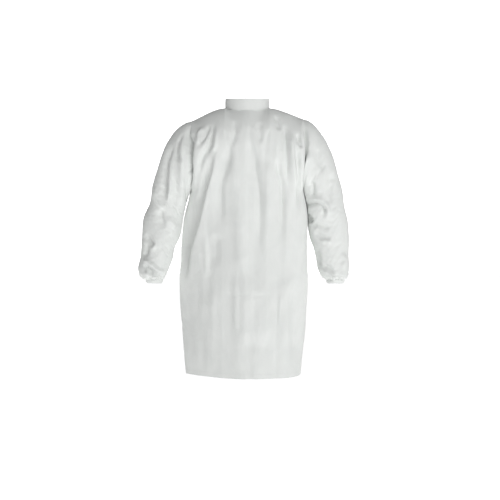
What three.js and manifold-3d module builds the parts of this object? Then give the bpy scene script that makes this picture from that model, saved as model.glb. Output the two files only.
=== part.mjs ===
// A knee-length disposable lab coat: stand collar, snap front, elastic wrists, straight hem.
// It is shaped as it hangs when worn. Millimetres, +Z up, the front faces -Y, and the wearer's
// left is +X.
// The origin is midway between the two side neck points, where the coat rests on the shoulders.
// Cloth that bends at a joint is cut into a fixed part, a fold strip and a moving part.

import * as THREE from "three";
import { mergeVertices } from "three/addons/utils/BufferGeometryUtils.js";
import Module from "manifold-3d";

// ---- Driving dimensions -------------------------------------------------------------------

const COAT_LENGTH = 998; // side neck point to hem
const CLOTH = 1.6; // thickness of a panel, the cloth with its small creases
const SEAM_GAP = 0.5; // between two pieces of cloth that meet at a seam

const SHOULDER_HALF = 206; // centre line to armhole seam
const SHOULDER_DROP = 48; // side neck point to shoulder point
const SHOULDER_CURVE = 1.25; // 1 for a straight shoulder line
const ARMHOLE_DEPTH = 258; // shoulder point to underarm point
const ARMHOLE_HALF = 74; // half the armhole, front to back
const SHOULDER_ROUNDING = 150; // height over which the shoulder turns into the chest

const SIDE_STRAIGHT = 34; // below the underarm, before the side seam runs out
const HIP_DROP = 606; // side neck point to the widest level
const HIP_HALF = 239;
const HEM_HALF = 213;
const CHEST_DEPTH = 116; // half the chest, front to back
const HEM_DEPTH = 126;
const BODY_SQUARENESS = 2.4; // exponent of the body's rounded-oblong section

const NECK_HALF = 82; // outside of the collar, side to side
const NECK_DEPTH = 70; // outside of the collar, front to back
const NECK_FRONT_DROP = 52;
const NECK_BACK_DROP = 17;
const COLLAR_HEIGHT = 39;
const COLLAR_END_GAP = 5; // between the two collar ends
const LABEL_WIDTH = 34;
const LABEL_HEIGHT = 24;
const LABEL_THICKNESS = 0.6;

const SLEEVE_LENGTH = 600; // shoulder point down to the cuff band
const CUFF_REACH = 134; // shoulder point out to the centre of the cuff
const CUFF_RADIUS = 32;
const CUFF_HEIGHT = 16;
const CUFF_TILT = 0.15; // radians, the cuff's axis from plumb
const ELASTIC_WIDTH = 8;
const ELASTIC_THICKNESS = 1;
const SLEEVE_TAPER = 0.8; // the sleeve's depth above the cuff, as a share of the armhole's
const SLEEVE_GATHER = 0.88; // the share of the sleeve's length at which it draws in to the cuff
const SLEEVE_SHARE_SEWN = 0.46; // the upper share of the sleeve that bends when it is raised
const SIDE_CLEARANCE = 8; // between the hanging sleeve and the body, where they part

const OVERLAP_HALF = 15; // how far each front runs past the centre line
const FLAP_TOP = 50; // centre line to the moving front's outer edge, at the neck
const FLAP_HEM = 168; // the same, at the hem
const FOLD_WIDTH = NECK_HALF - FLAP_TOP; // the strip of each front that bends when it is opened
const FACING_WIDTH = 26;
const FACING_THICKNESS = 1.2;

const SNAP_COUNT = 5;
const SNAP_TOP_DROP = 84; // side neck point to the first snap
const SNAP_SPACING = 178;
const SNAP_RADIUS = 6.5;
const SNAP_CAP_THICKNESS = 1.6;
const SNAP_SOCKET_THICKNESS = 2;
const SNAP_SOCKET_BORE = 3.8;
const SNAP_FLOOR = 0.7;
const SNAP_KNOB_RADIUS = 1.7;
const SNAP_KNOB_HEIGHT = 1;
const SNAP_RIVET_RADIUS = 1.2;
const SNAP_FIT = 0.4; // between a snap part and what it touches

const POCKET_WIDTH = 114;
const POCKET_HEIGHT = 160;
const POCKET_DROP = 590; // side neck point to the pocket's mouth
const POCKET_INSET = 34; // centre line to the pocket's inner edge
const POCKET_BULGE = 15; // how far the mouth stands open
const POCKET_FLATTENING = 2.5; // exponent with which the patch comes back to the front
const POCKET_SEAM = 1.2; // between the patch's edge and the front

// ---- What follows from them ---------------------------------------------------------------

const UNDERARM_Z = -SHOULDER_DROP - ARMHOLE_DEPTH;
const HEM_Z = -COAT_LENGTH;
const SECTION_POWER = 2 / BODY_SQUARENESS;
const { lerp, smoothstep, clamp } = THREE.MathUtils;

// How far the left front lies outside the right one: the closed snap's thickness and the cloth.
const LAP = CLOTH + FACING_THICKNESS + SNAP_SOCKET_THICKNESS + SNAP_FLOOR + 6 * SNAP_FIT;

const cloth = (color) =>
  new THREE.MeshStandardMaterial({ color, roughness: 0.72, metalness: 0, side: THREE.DoubleSide });
const COAT_CLOTH = cloth(0xe3e6e3);
const BAND_CLOTH = cloth(0xdedfde);
const LABEL_CLOTH = cloth(0xf4f4f2);
const ELASTIC = new THREE.MeshStandardMaterial({ color: 0xf0efec, roughness: 0.85 });
const SNAP_PLASTIC = new THREE.MeshStandardMaterial({ color: 0xf2f2f0, roughness: 0.35 });

const coat = new THREE.Group();

function place(name, geometry, material) {
  const mesh = new THREE.Mesh(geometry, material);
  mesh.name = name;
  coat.add(mesh);
  return mesh;
}

// ---- Closed solids from curved sheets -----------------------------------------------------

// The faces point outwards: a negative volume means that the grid ran the other way.
function solidFrom(points, faces) {
  const volume = faces.reduce((sum, [a, b, c]) => {
    const normal = new THREE.Vector3().crossVectors(points[b], points[c]);
    return sum + points[a].dot(normal);
  }, 0);
  const turned = volume < 0 ? faces.map(([a, b, c]) => [a, c, b]) : faces;
  return new THREE.BufferGeometry().setFromPoints(points).setIndex(turned.flat());
}

// A thin solid between two surfaces given as functions of u and v, each from 0 to 1.
// A tube closes on itself in u, and a sheet has a rim all round.
function shell(outer, inner, columns, rows, isTube = false) {
  const across = isTube ? columns : columns + 1;
  const points = [];
  for (const surface of [outer, inner])
    for (let j = 0; j <= rows; j++)
      for (let i = 0; i < across; i++) points.push(surface(i / columns, j / rows));

  const at = (side, i, j) => (side * (rows + 1) + j) * across + (i % across);
  const faces = [];
  const quad = (a, b, c, d) => faces.push([a, b, c], [a, c, d]);
  for (let j = 0; j < rows; j++)
    for (let i = 0; i < columns; i++) {
      quad(at(0, i, j), at(0, i + 1, j), at(0, i + 1, j + 1), at(0, i, j + 1));
      quad(at(1, i, j), at(1, i, j + 1), at(1, i + 1, j + 1), at(1, i + 1, j));
    }
  for (let i = 0; i < columns; i++) {
    quad(at(0, i, 0), at(1, i, 0), at(1, i + 1, 0), at(0, i + 1, 0));
    quad(at(0, i, rows), at(0, i + 1, rows), at(1, i + 1, rows), at(1, i, rows));
  }
  if (!isTube)
    for (let j = 0; j < rows; j++) {
      quad(at(0, 0, j), at(0, 0, j + 1), at(1, 0, j + 1), at(1, 0, j));
      quad(at(0, columns, j), at(1, columns, j), at(1, columns, j + 1), at(0, columns, j + 1));
    }
  return solidFrom(points, faces);
}

// ---- The body's surface -------------------------------------------------------------------

// Half the body's width at a height.
function halfWidth(z) {
  const start = UNDERARM_Z - SIDE_STRAIGHT;
  if (z > start) return SHOULDER_HALF;
  if (z > -HIP_DROP) {
    const k = (start - z) / (start + HIP_DROP);
    return lerp(SHOULDER_HALF, HIP_HALF, Math.sin((k * Math.PI) / 2));
  }
  const k = (-HIP_DROP - z) / (COAT_LENGTH - HIP_DROP);
  return lerp(HEM_HALF, HIP_HALF, Math.cos((k * Math.PI) / 2));
}

// Half the armhole's opening, front to back, at a height: nothing outside it.
function armholeHalf(z) {
  const k = (z - UNDERARM_Z) / (ARMHOLE_DEPTH / 2) - 1;
  return Math.abs(k) < 1 ? ARMHOLE_HALF * Math.sqrt(1 - k * k) : 0;
}

// The neckline, as a point at an angle from the centre front.
function neckline(angle) {
  const c = Math.cos(angle);
  const drop = c > 0 ? NECK_FRONT_DROP : NECK_BACK_DROP;
  return new THREE.Vector3(NECK_HALF * Math.sin(angle), -NECK_DEPTH * c, -drop * c * c);
}

// The upper edge of the front (side -1) or back (side 1), at a share of the shoulder's width.
function upperEdge(share, side) {
  const x = SHOULDER_HALF * share;
  if (Math.abs(x) < NECK_HALF) {
    const angle = Math.asin(x / NECK_HALF);
    return neckline(side < 0 ? angle : Math.PI - angle);
  }
  const k = (Math.abs(x) - NECK_HALF) / (SHOULDER_HALF - NECK_HALF);
  return new THREE.Vector3(x, 0, -SHOULDER_DROP * k ** SHOULDER_CURVE);
}

// A point of the body, at an angle from the centre line and a share of the way down to the hem.
// The cloth falls steeply from the shoulder line, and more gently from the neckline.
function bodyPoint(angle, down, side) {
  const share = Math.sign(angle) * Math.abs(Math.sin(angle)) ** SECTION_POWER;
  const section = Math.abs(Math.cos(angle)) ** SECTION_POWER;
  const top = upperEdge(share, side);
  const topHalf = Math.abs(top.y);
  const z = lerp(top.z, HEM_Z, down);
  const fall = Math.min((top.z - z) / SHOULDER_ROUNDING, 1);
  const rounding = (1 - (1 - fall) ** 2) ** lerp(0.5, 1, topHalf / NECK_DEPTH);
  const depth = lerp(CHEST_DEPTH, HEM_DEPTH, smoothstep(-z, -UNDERARM_Z, COAT_LENGTH));
  const half = lerp(armholeHalf(z), lerp(topHalf, depth, rounding), section);
  return new THREE.Vector3(share * halfWidth(z), side * (half + SEAM_GAP / 2), z);
}

// The direction into the body, the same for two panels that meet in a seam: down at the
// shoulder line, and level further down.
function inward(p) {
  const level = smoothstep(-p.z, SHOULDER_ROUNDING, -UNDERARM_Z);
  const drop = 1 - Math.min(Math.abs(p.y) / CHEST_DEPTH + level, 1);
  return new THREE.Vector3(-p.x * lerp(0.1, 0.5, level), -p.y, -SHOULDER_DROP * drop).normalize();
}

const into = (p, distance) => p.clone().addScaledVector(inward(p), distance);

// The angle at which the body's surface is that far from the centre line.
function angleOf(x, z) {
  const share = clamp(x / halfWidth(z), -1, 1);
  return Math.sign(share) * Math.asin(Math.abs(share) ** (1 / SECTION_POWER));
}

const PANEL_ROWS = 12;
const ROW_CROWDING = 1.7;

// Rows of points are closer together at the shoulder, where the cloth turns.
const downShare = (v) => v ** ROW_CROWDING;

// A panel of the body over the given lines, each its angle at a height. Where one panel lies
// over another it stands proud, straight out of the front.
function panel(side, lines, rise = () => 0, thickness = CLOTH) {
  const columns = lines.length - 1;
  const outer = (u, v) => {
    const down = downShare(v);
    const p = bodyPoint(lines[Math.round(u * columns)](lerp(0, HEM_Z, down)), down, side);
    p.y += side * rise(p.x);
    return p;
  };
  return shell(outer, (u, v) => into(outer(u, v), thickness), columns, PANEL_ROWS);
}

// Evenly spaced lines between two others.
const between = (from, to, count) =>
  Array.from({ length: count + 1 }, (_, i) => (z) => lerp(from(z), to(z), i / count));

// ---- Panels of the body -------------------------------------------------------------------

const flapEdge = (z) => lerp(FLAP_TOP, FLAP_HEM, z / HEM_Z);
const lineAt = (x) => (z) => angleOf(x, z);
const lineBeyond = (distance) => (z) => angleOf(flapEdge(z) + distance, z);
const still = (angle) => () => angle;
const sideSeam = still(Math.PI / 2);
const neckAngle = angleOf(NECK_HALF, 0);

// The left front stands proud of the right one near the centre line.
const lapRise = (x) => LAP * (1 - smoothstep(x, OVERLAP_HALF, 2 * OVERLAP_HALF));

const FLAP_LINES = [
  lineAt(-OVERLAP_HALF),
  lineAt(0),
  lineAt(OVERLAP_HALF),
  lineAt(1.5 * OVERLAP_HALF),
  ...between(lineAt(2 * OVERLAP_HALF), lineBeyond(0), 3),
];
const FACING_LINES = [-FACING_WIDTH / 2, 0, FACING_WIDTH / 2].map(lineAt);

const backHalf = between(still(neckAngle), sideSeam, 6);
const backLines = [
  ...backHalf.toReversed().map((line) => (z) => -line(z)),
  ...between(still(-neckAngle), still(neckAngle), 12).slice(1, -1),
  ...backHalf,
];
place("back_panel", panel(1, backLines), COAT_CLOTH);
for (const [hand, sign] of [["left", 1], ["right", -1]]) {
  const turned = (lines) => lines.map((line) => (z) => sign * line(z));
  const strips = {
    side: between(lineBeyond(FOLD_WIDTH + SEAM_GAP), sideSeam, 5),
    fold: between(lineBeyond(SEAM_GAP), lineBeyond(FOLD_WIDTH), 3),
    flap: FLAP_LINES,
  };
  const rise = (part) => (sign > 0 && part === "flap" ? lapRise : () => 0);
  for (const [part, lines] of Object.entries(strips))
    place(`${hand}_front_${part}`, panel(-1, turned(lines), rise(part)), COAT_CLOTH);
}

// A strip behind each front edge, which stiffens it and carries the snaps.
for (const [hand, rise] of [["left", LAP], ["right", 0]]) {
  const strip = panel(-1, FACING_LINES, () => rise - CLOTH - SNAP_FIT, FACING_THICKNESS);
  place(`${hand}_front_facing`, strip, BAND_CLOTH);
}

// ---- Snaps --------------------------------------------------------------------------------

const SNAP_SIDES = 12;
const CUFF_SIDES = 20;
const lathe = (profile, sides = SNAP_SIDES) =>
  new THREE.LatheGeometry(profile.map(([r, h]) => new THREE.Vector2(r, h)), sides);

// Depths below the left front's outer face, in the order in which the layers lie.
const SOCKET_AT = CLOTH + FACING_THICKNESS + 2 * SNAP_FIT;
const STUD_AT = SOCKET_AT + SNAP_SOCKET_THICKNESS + SNAP_FIT;
const POST_AT = LAP + CLOTH + FACING_THICKNESS + 2 * SNAP_FIT;
const RIVET_HOLE = SNAP_RIVET_RADIUS + SNAP_FIT;

// Each profile's height is measured outwards from the left front's outer face.
function snapCap() {
  const under = SNAP_FIT;
  return lathe([
    [0, -(SOCKET_AT + SNAP_FLOOR)],
    [SNAP_RIVET_RADIUS, -(SOCKET_AT + SNAP_FLOOR)],
    [SNAP_RIVET_RADIUS, under],
    [SNAP_RADIUS, under],
    [SNAP_RADIUS, under + SNAP_CAP_THICKNESS / 2],
    [SNAP_RADIUS - SNAP_CAP_THICKNESS, under + SNAP_CAP_THICKNESS],
    [0, under + SNAP_CAP_THICKNESS],
  ]);
}

function snapSocket() {
  const floor = SOCKET_AT + SNAP_FLOOR;
  const bottom = SOCKET_AT + SNAP_SOCKET_THICKNESS;
  return lathe([
    [RIVET_HOLE, -SOCKET_AT],
    [RIVET_HOLE, -floor],
    [SNAP_SOCKET_BORE, -floor],
    [SNAP_SOCKET_BORE, -bottom],
    [SNAP_RADIUS - SNAP_FIT, -bottom],
    [SNAP_RADIUS - SNAP_FIT, -SOCKET_AT],
    [RIVET_HOLE, -SOCKET_AT],
  ]);
}

function snapStud() {
  const base = STUD_AT + SNAP_FLOOR;
  return lathe([
    [RIVET_HOLE, -base],
    [SNAP_RADIUS - 2 * SNAP_FIT, -base],
    [SNAP_RADIUS - 2 * SNAP_FIT, -STUD_AT],
    [SNAP_KNOB_RADIUS + SNAP_FIT, -STUD_AT],
    [SNAP_KNOB_RADIUS + SNAP_FIT, -STUD_AT + SNAP_KNOB_HEIGHT],
    [RIVET_HOLE, -STUD_AT + SNAP_KNOB_HEIGHT],
    [RIVET_HOLE, -base],
  ]);
}

function snapPost() {
  const tip = -STUD_AT + SNAP_KNOB_HEIGHT;
  return lathe([
    [0, -(POST_AT + SNAP_FLOOR)],
    [SNAP_RADIUS - 2 * SNAP_FIT, -(POST_AT + SNAP_FLOOR)],
    [SNAP_RADIUS - 2 * SNAP_FIT, -POST_AT],
    [SNAP_RIVET_RADIUS, -POST_AT],
    [SNAP_RIVET_RADIUS, tip],
    [0, tip],
  ]);
}

// A point of the front's outer face, on the straight stretch between two rows of the panel.
function frontPoint(x, z, rise) {
  const angle = angleOf(x, z);
  const top = upperEdge(x / halfWidth(z), -1).z;
  const row = Math.floor(PANEL_ROWS * ((top - z) / (top - HEM_Z)) ** (1 / ROW_CROWDING));
  const [above, below] = [row, row + 1].map((j) => bodyPoint(angle, downShare(j / PANEL_ROWS), -1));
  const p = above.lerp(below, (above.z - z) / (above.z - below.z));
  return p.set(x, p.y - rise, z);
}

// Where a snap sits: on the centre line of the left front's outer face, square to it.
function snapFrame(index) {
  const z = -SNAP_TOP_DROP - index * SNAP_SPACING;
  const [above, at, below] = [SNAP_RADIUS, 0, -SNAP_RADIUS].map((dz) => frontPoint(0, z + dz, LAP));
  const slope = above.sub(below);
  const out = new THREE.Vector3(0, -slope.z, slope.y).normalize();
  const turn = new THREE.Quaternion().setFromUnitVectors(new THREE.Vector3(0, 1, 0), out);
  return { at, out, turn };
}

const SNAP_PARTS = { cap: snapCap, socket: snapSocket, stud: snapStud, post: snapPost };
for (let i = 0; i < SNAP_COUNT; i++) {
  const { at, turn } = snapFrame(i);
  for (const [part, make] of Object.entries(SNAP_PARTS)) {
    const mesh = place(`snap_${part}_${i + 1}`, make(), SNAP_PLASTIC);
    mesh.position.copy(at);
    mesh.quaternion.copy(turn);
  }
}

// The rivets pass through holes in both fronts and both facings.
const wasm = await Module();
wasm.setup();

function toManifold(geometry) {
  const bare = new THREE.BufferGeometry()
    .setAttribute("position", geometry.getAttribute("position"))
    .setIndex(geometry.index);
  const merged = mergeVertices(bare, 1e-4);
  return new wasm.Manifold(
    new wasm.Mesh({
      numProp: 3,
      vertProperties: merged.attributes.position.array,
      triVerts: new Uint32Array(merged.index.array),
    }),
  );
}

function fromManifold(solid) {
  const mesh = solid.getMesh();
  return new THREE.BufferGeometry()
    .setAttribute("position", new THREE.BufferAttribute(new Float32Array(mesh.vertProperties), 3))
    .setIndex(new THREE.BufferAttribute(new Uint32Array(mesh.triVerts), 1));
}

function rivetDrill(index) {
  const { at, out, turn } = snapFrame(index);
  const centre = at.addScaledVector(out, -LAP);
  return toManifold(
    new THREE.CylinderGeometry(RIVET_HOLE, RIVET_HOLE, 3 * LAP, SNAP_SIDES)
      .applyQuaternion(turn)
      .translate(...centre),
  );
}

for (const hand of ["left", "right"])
  for (const part of ["flap", "facing"]) {
    const mesh = coat.getObjectByName(`${hand}_front_${part}`);
    let solid = toManifold(mesh.geometry);
    for (let i = 0; i < SNAP_COUNT; i++) solid = solid.subtract(rivetDrill(i));
    mesh.geometry = fromManifold(solid);
  }

// ---- Hip pockets --------------------------------------------------------------------------

// A patch closed at its sides and bottom, whose mouth stands open.
function pocket(sign) {
  const face = (lift) => (u, v) => {
    const x = sign * (POCKET_INSET + POCKET_WIDTH * u);
    const z = -POCKET_DROP - POCKET_HEIGHT * v;
    const open = (1 - (2 * u - 1) ** 4) * (1 - v ** POCKET_FLATTENING);
    return frontPoint(x, z, POCKET_SEAM + lift + POCKET_BULGE * open);
  };
  return shell(face(CLOTH), face(0), 10, 6);
}

place("left_hip_pocket", pocket(1), COAT_CLOTH);
place("right_hip_pocket", pocket(-1), COAT_CLOTH);

// ---- Collar -------------------------------------------------------------------------------

// A band standing on the neckline, between two angles from the centre front.
function collarBand(from, to, columns) {
  const band = (inset) => (u, v) => {
    const p = neckline(lerp(from, to, u));
    p.x *= 1 - inset / NECK_HALF;
    p.y *= 1 - inset / NECK_DEPTH;
    p.z += SEAM_GAP + v * (COLLAR_HEIGHT - SEAM_GAP);
    return p;
  };
  return shell(band(0), band(CLOTH), columns, 1);
}

const END_ANGLE = COLLAR_END_GAP / 2 / NECK_HALF;
const BEND_FROM = 0.74; // radians from the centre front, where the collar starts to bend
const BEND_TO = 1.15;
const SEAM_ANGLE = SEAM_GAP / NECK_DEPTH;

place("collar_back", collarBand(BEND_TO, 2 * Math.PI - BEND_TO, 20), BAND_CLOTH);
for (const [hand, sign] of [["left", 1], ["right", -1]]) {
  const band = (from, to, columns) => collarBand(sign * from, sign * to, columns);
  place(`collar_${hand}_fold`, band(BEND_FROM, BEND_TO - SEAM_ANGLE, 3), BAND_CLOTH);
  place(`collar_${hand}_end`, band(END_ANGLE, BEND_FROM - SEAM_ANGLE, 5), BAND_CLOTH);
}

const label = new THREE.BoxGeometry(LABEL_WIDTH, LABEL_THICKNESS, LABEL_HEIGHT);
const LABEL_SAG = NECK_DEPTH * (1 - Math.cos(Math.asin(LABEL_WIDTH / 2 / NECK_HALF)));
place("neck_label", label, LABEL_CLOTH).position.set(
  0,
  NECK_DEPTH - CLOTH - LABEL_SAG - LABEL_THICKNESS - SEAM_GAP,
  COLLAR_HEIGHT / 2 - NECK_BACK_DROP,
);

// ---- Sleeves and cuffs --------------------------------------------------------------------

// The sleeve hangs between an outer and an inner line, and each ring joins one point of each.
// The outer line's points are shares of the sleeve's length and of the cuff's reach.
function sleeveLines() {
  const outerShares = [
    [0, 0], [0.38, 0.054], [0.66, 0.145], [0.89, 0.26], [1.05, 0.385],
    [1.18, 0.525], [1.32, 0.665], [1.37, 0.815], [1.41, 0.93],
  ];
  const innerShares = [0, 0.125, 0.25, 0.36, 0.475, 0.59, 0.7, 0.83, 0.92];
  const partings = [0, 0.35, 0.65, 0.85, 1, 2, 3.1, 4.4, 5.6]; // in side clearances
  const cuffCentre = new THREE.Vector3(
    SHOULDER_HALF + CUFF_REACH, 0, -SHOULDER_DROP - SLEEVE_LENGTH,
  );
  const across = new THREE.Vector3(Math.cos(CUFF_TILT), 0, Math.sin(CUFF_TILT));
  const outer = outerShares.map(([out, down]) => new THREE.Vector3(
    SHOULDER_HALF + CUFF_REACH * out, 0, -SHOULDER_DROP - SLEEVE_LENGTH * down,
  ));
  const inner = innerShares.map((down, i) => {
    const z = lerp(UNDERARM_Z, cuffCentre.z, down);
    return new THREE.Vector3(halfWidth(z) + SIDE_CLEARANCE * partings[i], 0, z);
  });
  outer.push(cuffCentre.clone().addScaledVector(across, CUFF_RADIUS));
  inner.push(cuffCentre.clone().addScaledVector(across, -CUFF_RADIUS));
  return {
    outer: new THREE.CatmullRomCurve3(outer),
    inner: new THREE.CatmullRomCurve3(inner),
    cuffCentre,
  };
}

const lines = sleeveLines();

// Half the sleeve's depth, front to back, from the armhole to the cuff.
function sleeveDepth(v) {
  const arm = lerp(ARMHOLE_HALF, SLEEVE_TAPER * ARMHOLE_HALF, v);
  return lerp(arm, CUFF_RADIUS, smoothstep(v, SLEEVE_GATHER, 1));
}

function sleevePoint(u, v, inset) {
  const outer = lines.outer.getPoint(v);
  const inner = lines.inner.getPoint(v);
  const centre = outer.clone().add(inner).multiplyScalar(0.5);
  const half = outer.clone().sub(inner).multiplyScalar(0.5);
  const depth = sleeveDepth(v);
  const angle = 2 * Math.PI * u;
  const p = centre
    .addScaledVector(half, Math.cos(angle) * (1 - inset / half.length()))
    .add(new THREE.Vector3(0, Math.sin(angle) * (depth - inset), 0));
  p.x += SEAM_GAP;
  return p;
}

function sleeveTube(from, to, rows) {
  const side = (inset) => (u, v) => sleevePoint(u, lerp(from, to, v), inset);
  return shell(side(0), side(CLOTH), 16, rows, true);
}

const SEWN_GAP = SEAM_GAP / SLEEVE_LENGTH;

// The cuff is a folded channel round the wrist, and the elastic lies inside it.
function cuffBand() {
  const wall = FACING_THICKNESS;
  const r = CUFF_RADIUS;
  const channel = ELASTIC_THICKNESS + 2 * SNAP_FIT;
  return lathe([
    [r, 0], [r, CUFF_HEIGHT], [r - 2 * wall - channel, CUFF_HEIGHT],
    [r - 2 * wall - channel, CUFF_HEIGHT - wall - ELASTIC_WIDTH - 2 * SNAP_FIT],
    [r - wall - channel, CUFF_HEIGHT - wall - ELASTIC_WIDTH - 2 * SNAP_FIT],
    [r - wall - channel, CUFF_HEIGHT - wall], [r - wall, CUFF_HEIGHT - wall],
    [r - wall, 0], [r, 0],
  ], CUFF_SIDES);
}

function elasticBand() {
  const outside = CUFF_RADIUS - FACING_THICKNESS - SNAP_FIT;
  const end = CUFF_HEIGHT - FACING_THICKNESS - SNAP_FIT;
  return lathe([
    [outside, end], [outside - ELASTIC_THICKNESS, end],
    [outside - ELASTIC_THICKNESS, end - ELASTIC_WIDTH], [outside, end - ELASTIC_WIDTH],
    [outside, end],
  ], CUFF_SIDES);
}

// Both cuff parts run down from the sleeve's end, along the cuff's tilted axis.
function hangCuff(mesh, sign) {
  const axis = new THREE.Vector3(sign * Math.sin(CUFF_TILT), 0, -Math.cos(CUFF_TILT));
  mesh.quaternion.setFromUnitVectors(new THREE.Vector3(0, 1, 0), axis);
  mesh.position.set(sign * (lines.cuffCentre.x + SEAM_GAP), 0, lines.cuffCentre.z);
  mesh.position.addScaledVector(axis, SEAM_GAP);
}

for (const [hand, sign] of [["left", 1], ["right", -1]]) {
  const head = place(`${hand}_sleeve_head`, sleeveTube(0, SLEEVE_SHARE_SEWN, 7), COAT_CLOTH);
  const tube = place(`${hand}_sleeve`, sleeveTube(SLEEVE_SHARE_SEWN + SEWN_GAP, 1, 9), COAT_CLOTH);
  head.scale.x = sign;
  tube.scale.x = sign;
  hangCuff(place(`${hand}_cuff`, cuffBand(), BAND_CLOTH), sign);
  hangCuff(place(`${hand}_cuff_elastic`, elasticBand(), ELASTIC), sign);
}

export default coat;
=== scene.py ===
"""A knee-length disposable lab coat of thin non-woven cloth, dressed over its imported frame.

The coat hangs as it does when it is worn. Lengths are in millimetres until a mesh is made, and a
mesh is in metres. The front faces -Y, the wearer's left is +X, and the origin lies between the
two side neck points.
"""

import logging
import math
from collections.abc import Callable, Sequence
from dataclasses import dataclass, field
from enum import Enum

import bpy
import numpy as np
from mathutils import Matrix, Vector


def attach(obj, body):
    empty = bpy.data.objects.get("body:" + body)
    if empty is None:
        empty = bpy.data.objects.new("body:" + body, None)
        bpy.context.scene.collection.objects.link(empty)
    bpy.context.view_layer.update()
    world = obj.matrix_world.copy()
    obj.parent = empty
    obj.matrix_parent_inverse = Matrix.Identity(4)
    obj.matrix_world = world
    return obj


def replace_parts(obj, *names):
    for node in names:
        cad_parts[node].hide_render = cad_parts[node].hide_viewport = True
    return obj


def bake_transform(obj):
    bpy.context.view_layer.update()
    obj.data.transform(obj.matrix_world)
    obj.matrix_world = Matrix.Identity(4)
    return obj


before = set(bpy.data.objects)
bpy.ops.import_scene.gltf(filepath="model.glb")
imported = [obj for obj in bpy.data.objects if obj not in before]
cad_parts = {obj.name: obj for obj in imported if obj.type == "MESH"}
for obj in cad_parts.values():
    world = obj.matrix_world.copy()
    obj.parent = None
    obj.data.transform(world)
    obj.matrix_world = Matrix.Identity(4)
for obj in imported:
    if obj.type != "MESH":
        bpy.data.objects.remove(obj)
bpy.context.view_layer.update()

MM = 0.001
CLOTH_THICKNESS = 0.5
THREAD_LIFT = 0.15
SHARP_ANGLE = math.radians(50)
SEED = 11

log = logging.getLogger("lab_coat")


class Hand(Enum):
    """The wearer's side, with the sign of its X."""

    LEFT = 1
    RIGHT = -1

    @property
    def word(self) -> str:
        """The side's name in piece and body names."""
        return self.name.lower()


class Cloth(Enum):
    """The part of the coat that a fold lies in."""

    BACK = "back"
    FRONT = "front"
    SLEEVE_BACK = "sleeve_back"
    SLEEVE_FRONT = "sleeve_front"


# ---- Curves and noise ---------------------------------------------------------------------


def catmull_rom(a: np.ndarray, b: np.ndarray, c: np.ndarray, d: np.ndarray,
                f: np.ndarray | float) -> np.ndarray:
    """The point a fraction of the way from b to c, on the curve through all four."""
    return 0.5 * (2 * b + (c - a) * f + (2 * a - 5 * b + 4 * c - d) * f**2
                  + (3 * b - a - 3 * c + d) * f**3)


def smooth_curve(points: Sequence[Sequence[float]], t: np.ndarray) -> np.ndarray:
    """Points on a Catmull-Rom curve.

    Args:
        points: The points that the curve passes through.
        t: Places on the curve, from 0 to 1, with the given points evenly spaced.

    Returns:
        One row for each place.
    """
    p = np.asarray(points, float)
    p = np.vstack([2 * p[0] - p[1], p, 2 * p[-1] - p[-2]])
    s = np.clip(np.asarray(t, float), 0, 1) * (len(p) - 3)
    i = np.minimum(s.astype(int), len(p) - 4)
    f = (s - i)[..., None]
    return catmull_rom(p[i], p[i + 1], p[i + 2], p[i + 3], f)


def profile(knots: Sequence[tuple[float, float]], x: np.ndarray) -> np.ndarray:
    """A smooth function through knots, sorted by their first value.

    Args:
        knots: Pairs of place and value.
        x: The places to evaluate.

    Returns:
        The values.
    """
    k = np.asarray(sorted(knots), float)
    slope = np.gradient(k[:, 1], k[:, 0])
    x = np.clip(x, k[0, 0], k[-1, 0])
    i = np.clip(np.searchsorted(k[:, 0], x, side="right") - 1, 0, len(k) - 2)
    h = k[i + 1, 0] - k[i, 0]
    f = (x - k[i, 0]) / h
    return ((1 + 2 * f) * (1 - f) ** 2 * k[i, 1] + f * (1 - f) ** 2 * h * slope[i]
            + f**2 * (3 - 2 * f) * k[i + 1, 1] + f**2 * (f - 1) * h * slope[i + 1])


def smoothstep(x: np.ndarray, low: float, high: float) -> np.ndarray:
    """A smooth rise from 0 at low to 1 at high."""
    t = np.clip((np.asarray(x, float) - low) / (high - low), 0, 1)
    return t * t * (3 - 2 * t)


class SoftNoise:
    """Smooth noise over a plane, the same on every run.

    Attributes:
        CELLS: Cells along each side of the table, after which it repeats.
    """

    CELLS = 64

    def __init__(self, seed: int) -> None:
        """Draws the table of values.

        Args:
            seed: The seed of the random draws.
        """
        self.table = np.random.default_rng(seed).uniform(-1, 1, (self.CELLS, self.CELLS))

    def __call__(self, x: np.ndarray, y: np.ndarray) -> np.ndarray:
        """The noise at each place, from -1 to 1.

        Args:
            x: Places across, where 1 is one cell of the noise.
            y: Places along.

        Returns:
            The values.
        """
        i, j = np.floor(x).astype(int), np.floor(y).astype(int)
        u, v = x - i, y - j
        u, v = u * u * (3 - 2 * u), v * v * (3 - 2 * v)
        t, n = self.table, self.CELLS
        i, j, k, m = i % n, j % n, (i + 1) % n, (j + 1) % n
        a, b, c, d = t[i, j], t[k, j], t[i, m], t[k, m]
        return (a * (1 - u) + b * u) * (1 - v) + (c * (1 - u) + d * u) * v


# ---- Finishes -----------------------------------------------------------------------------


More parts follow.
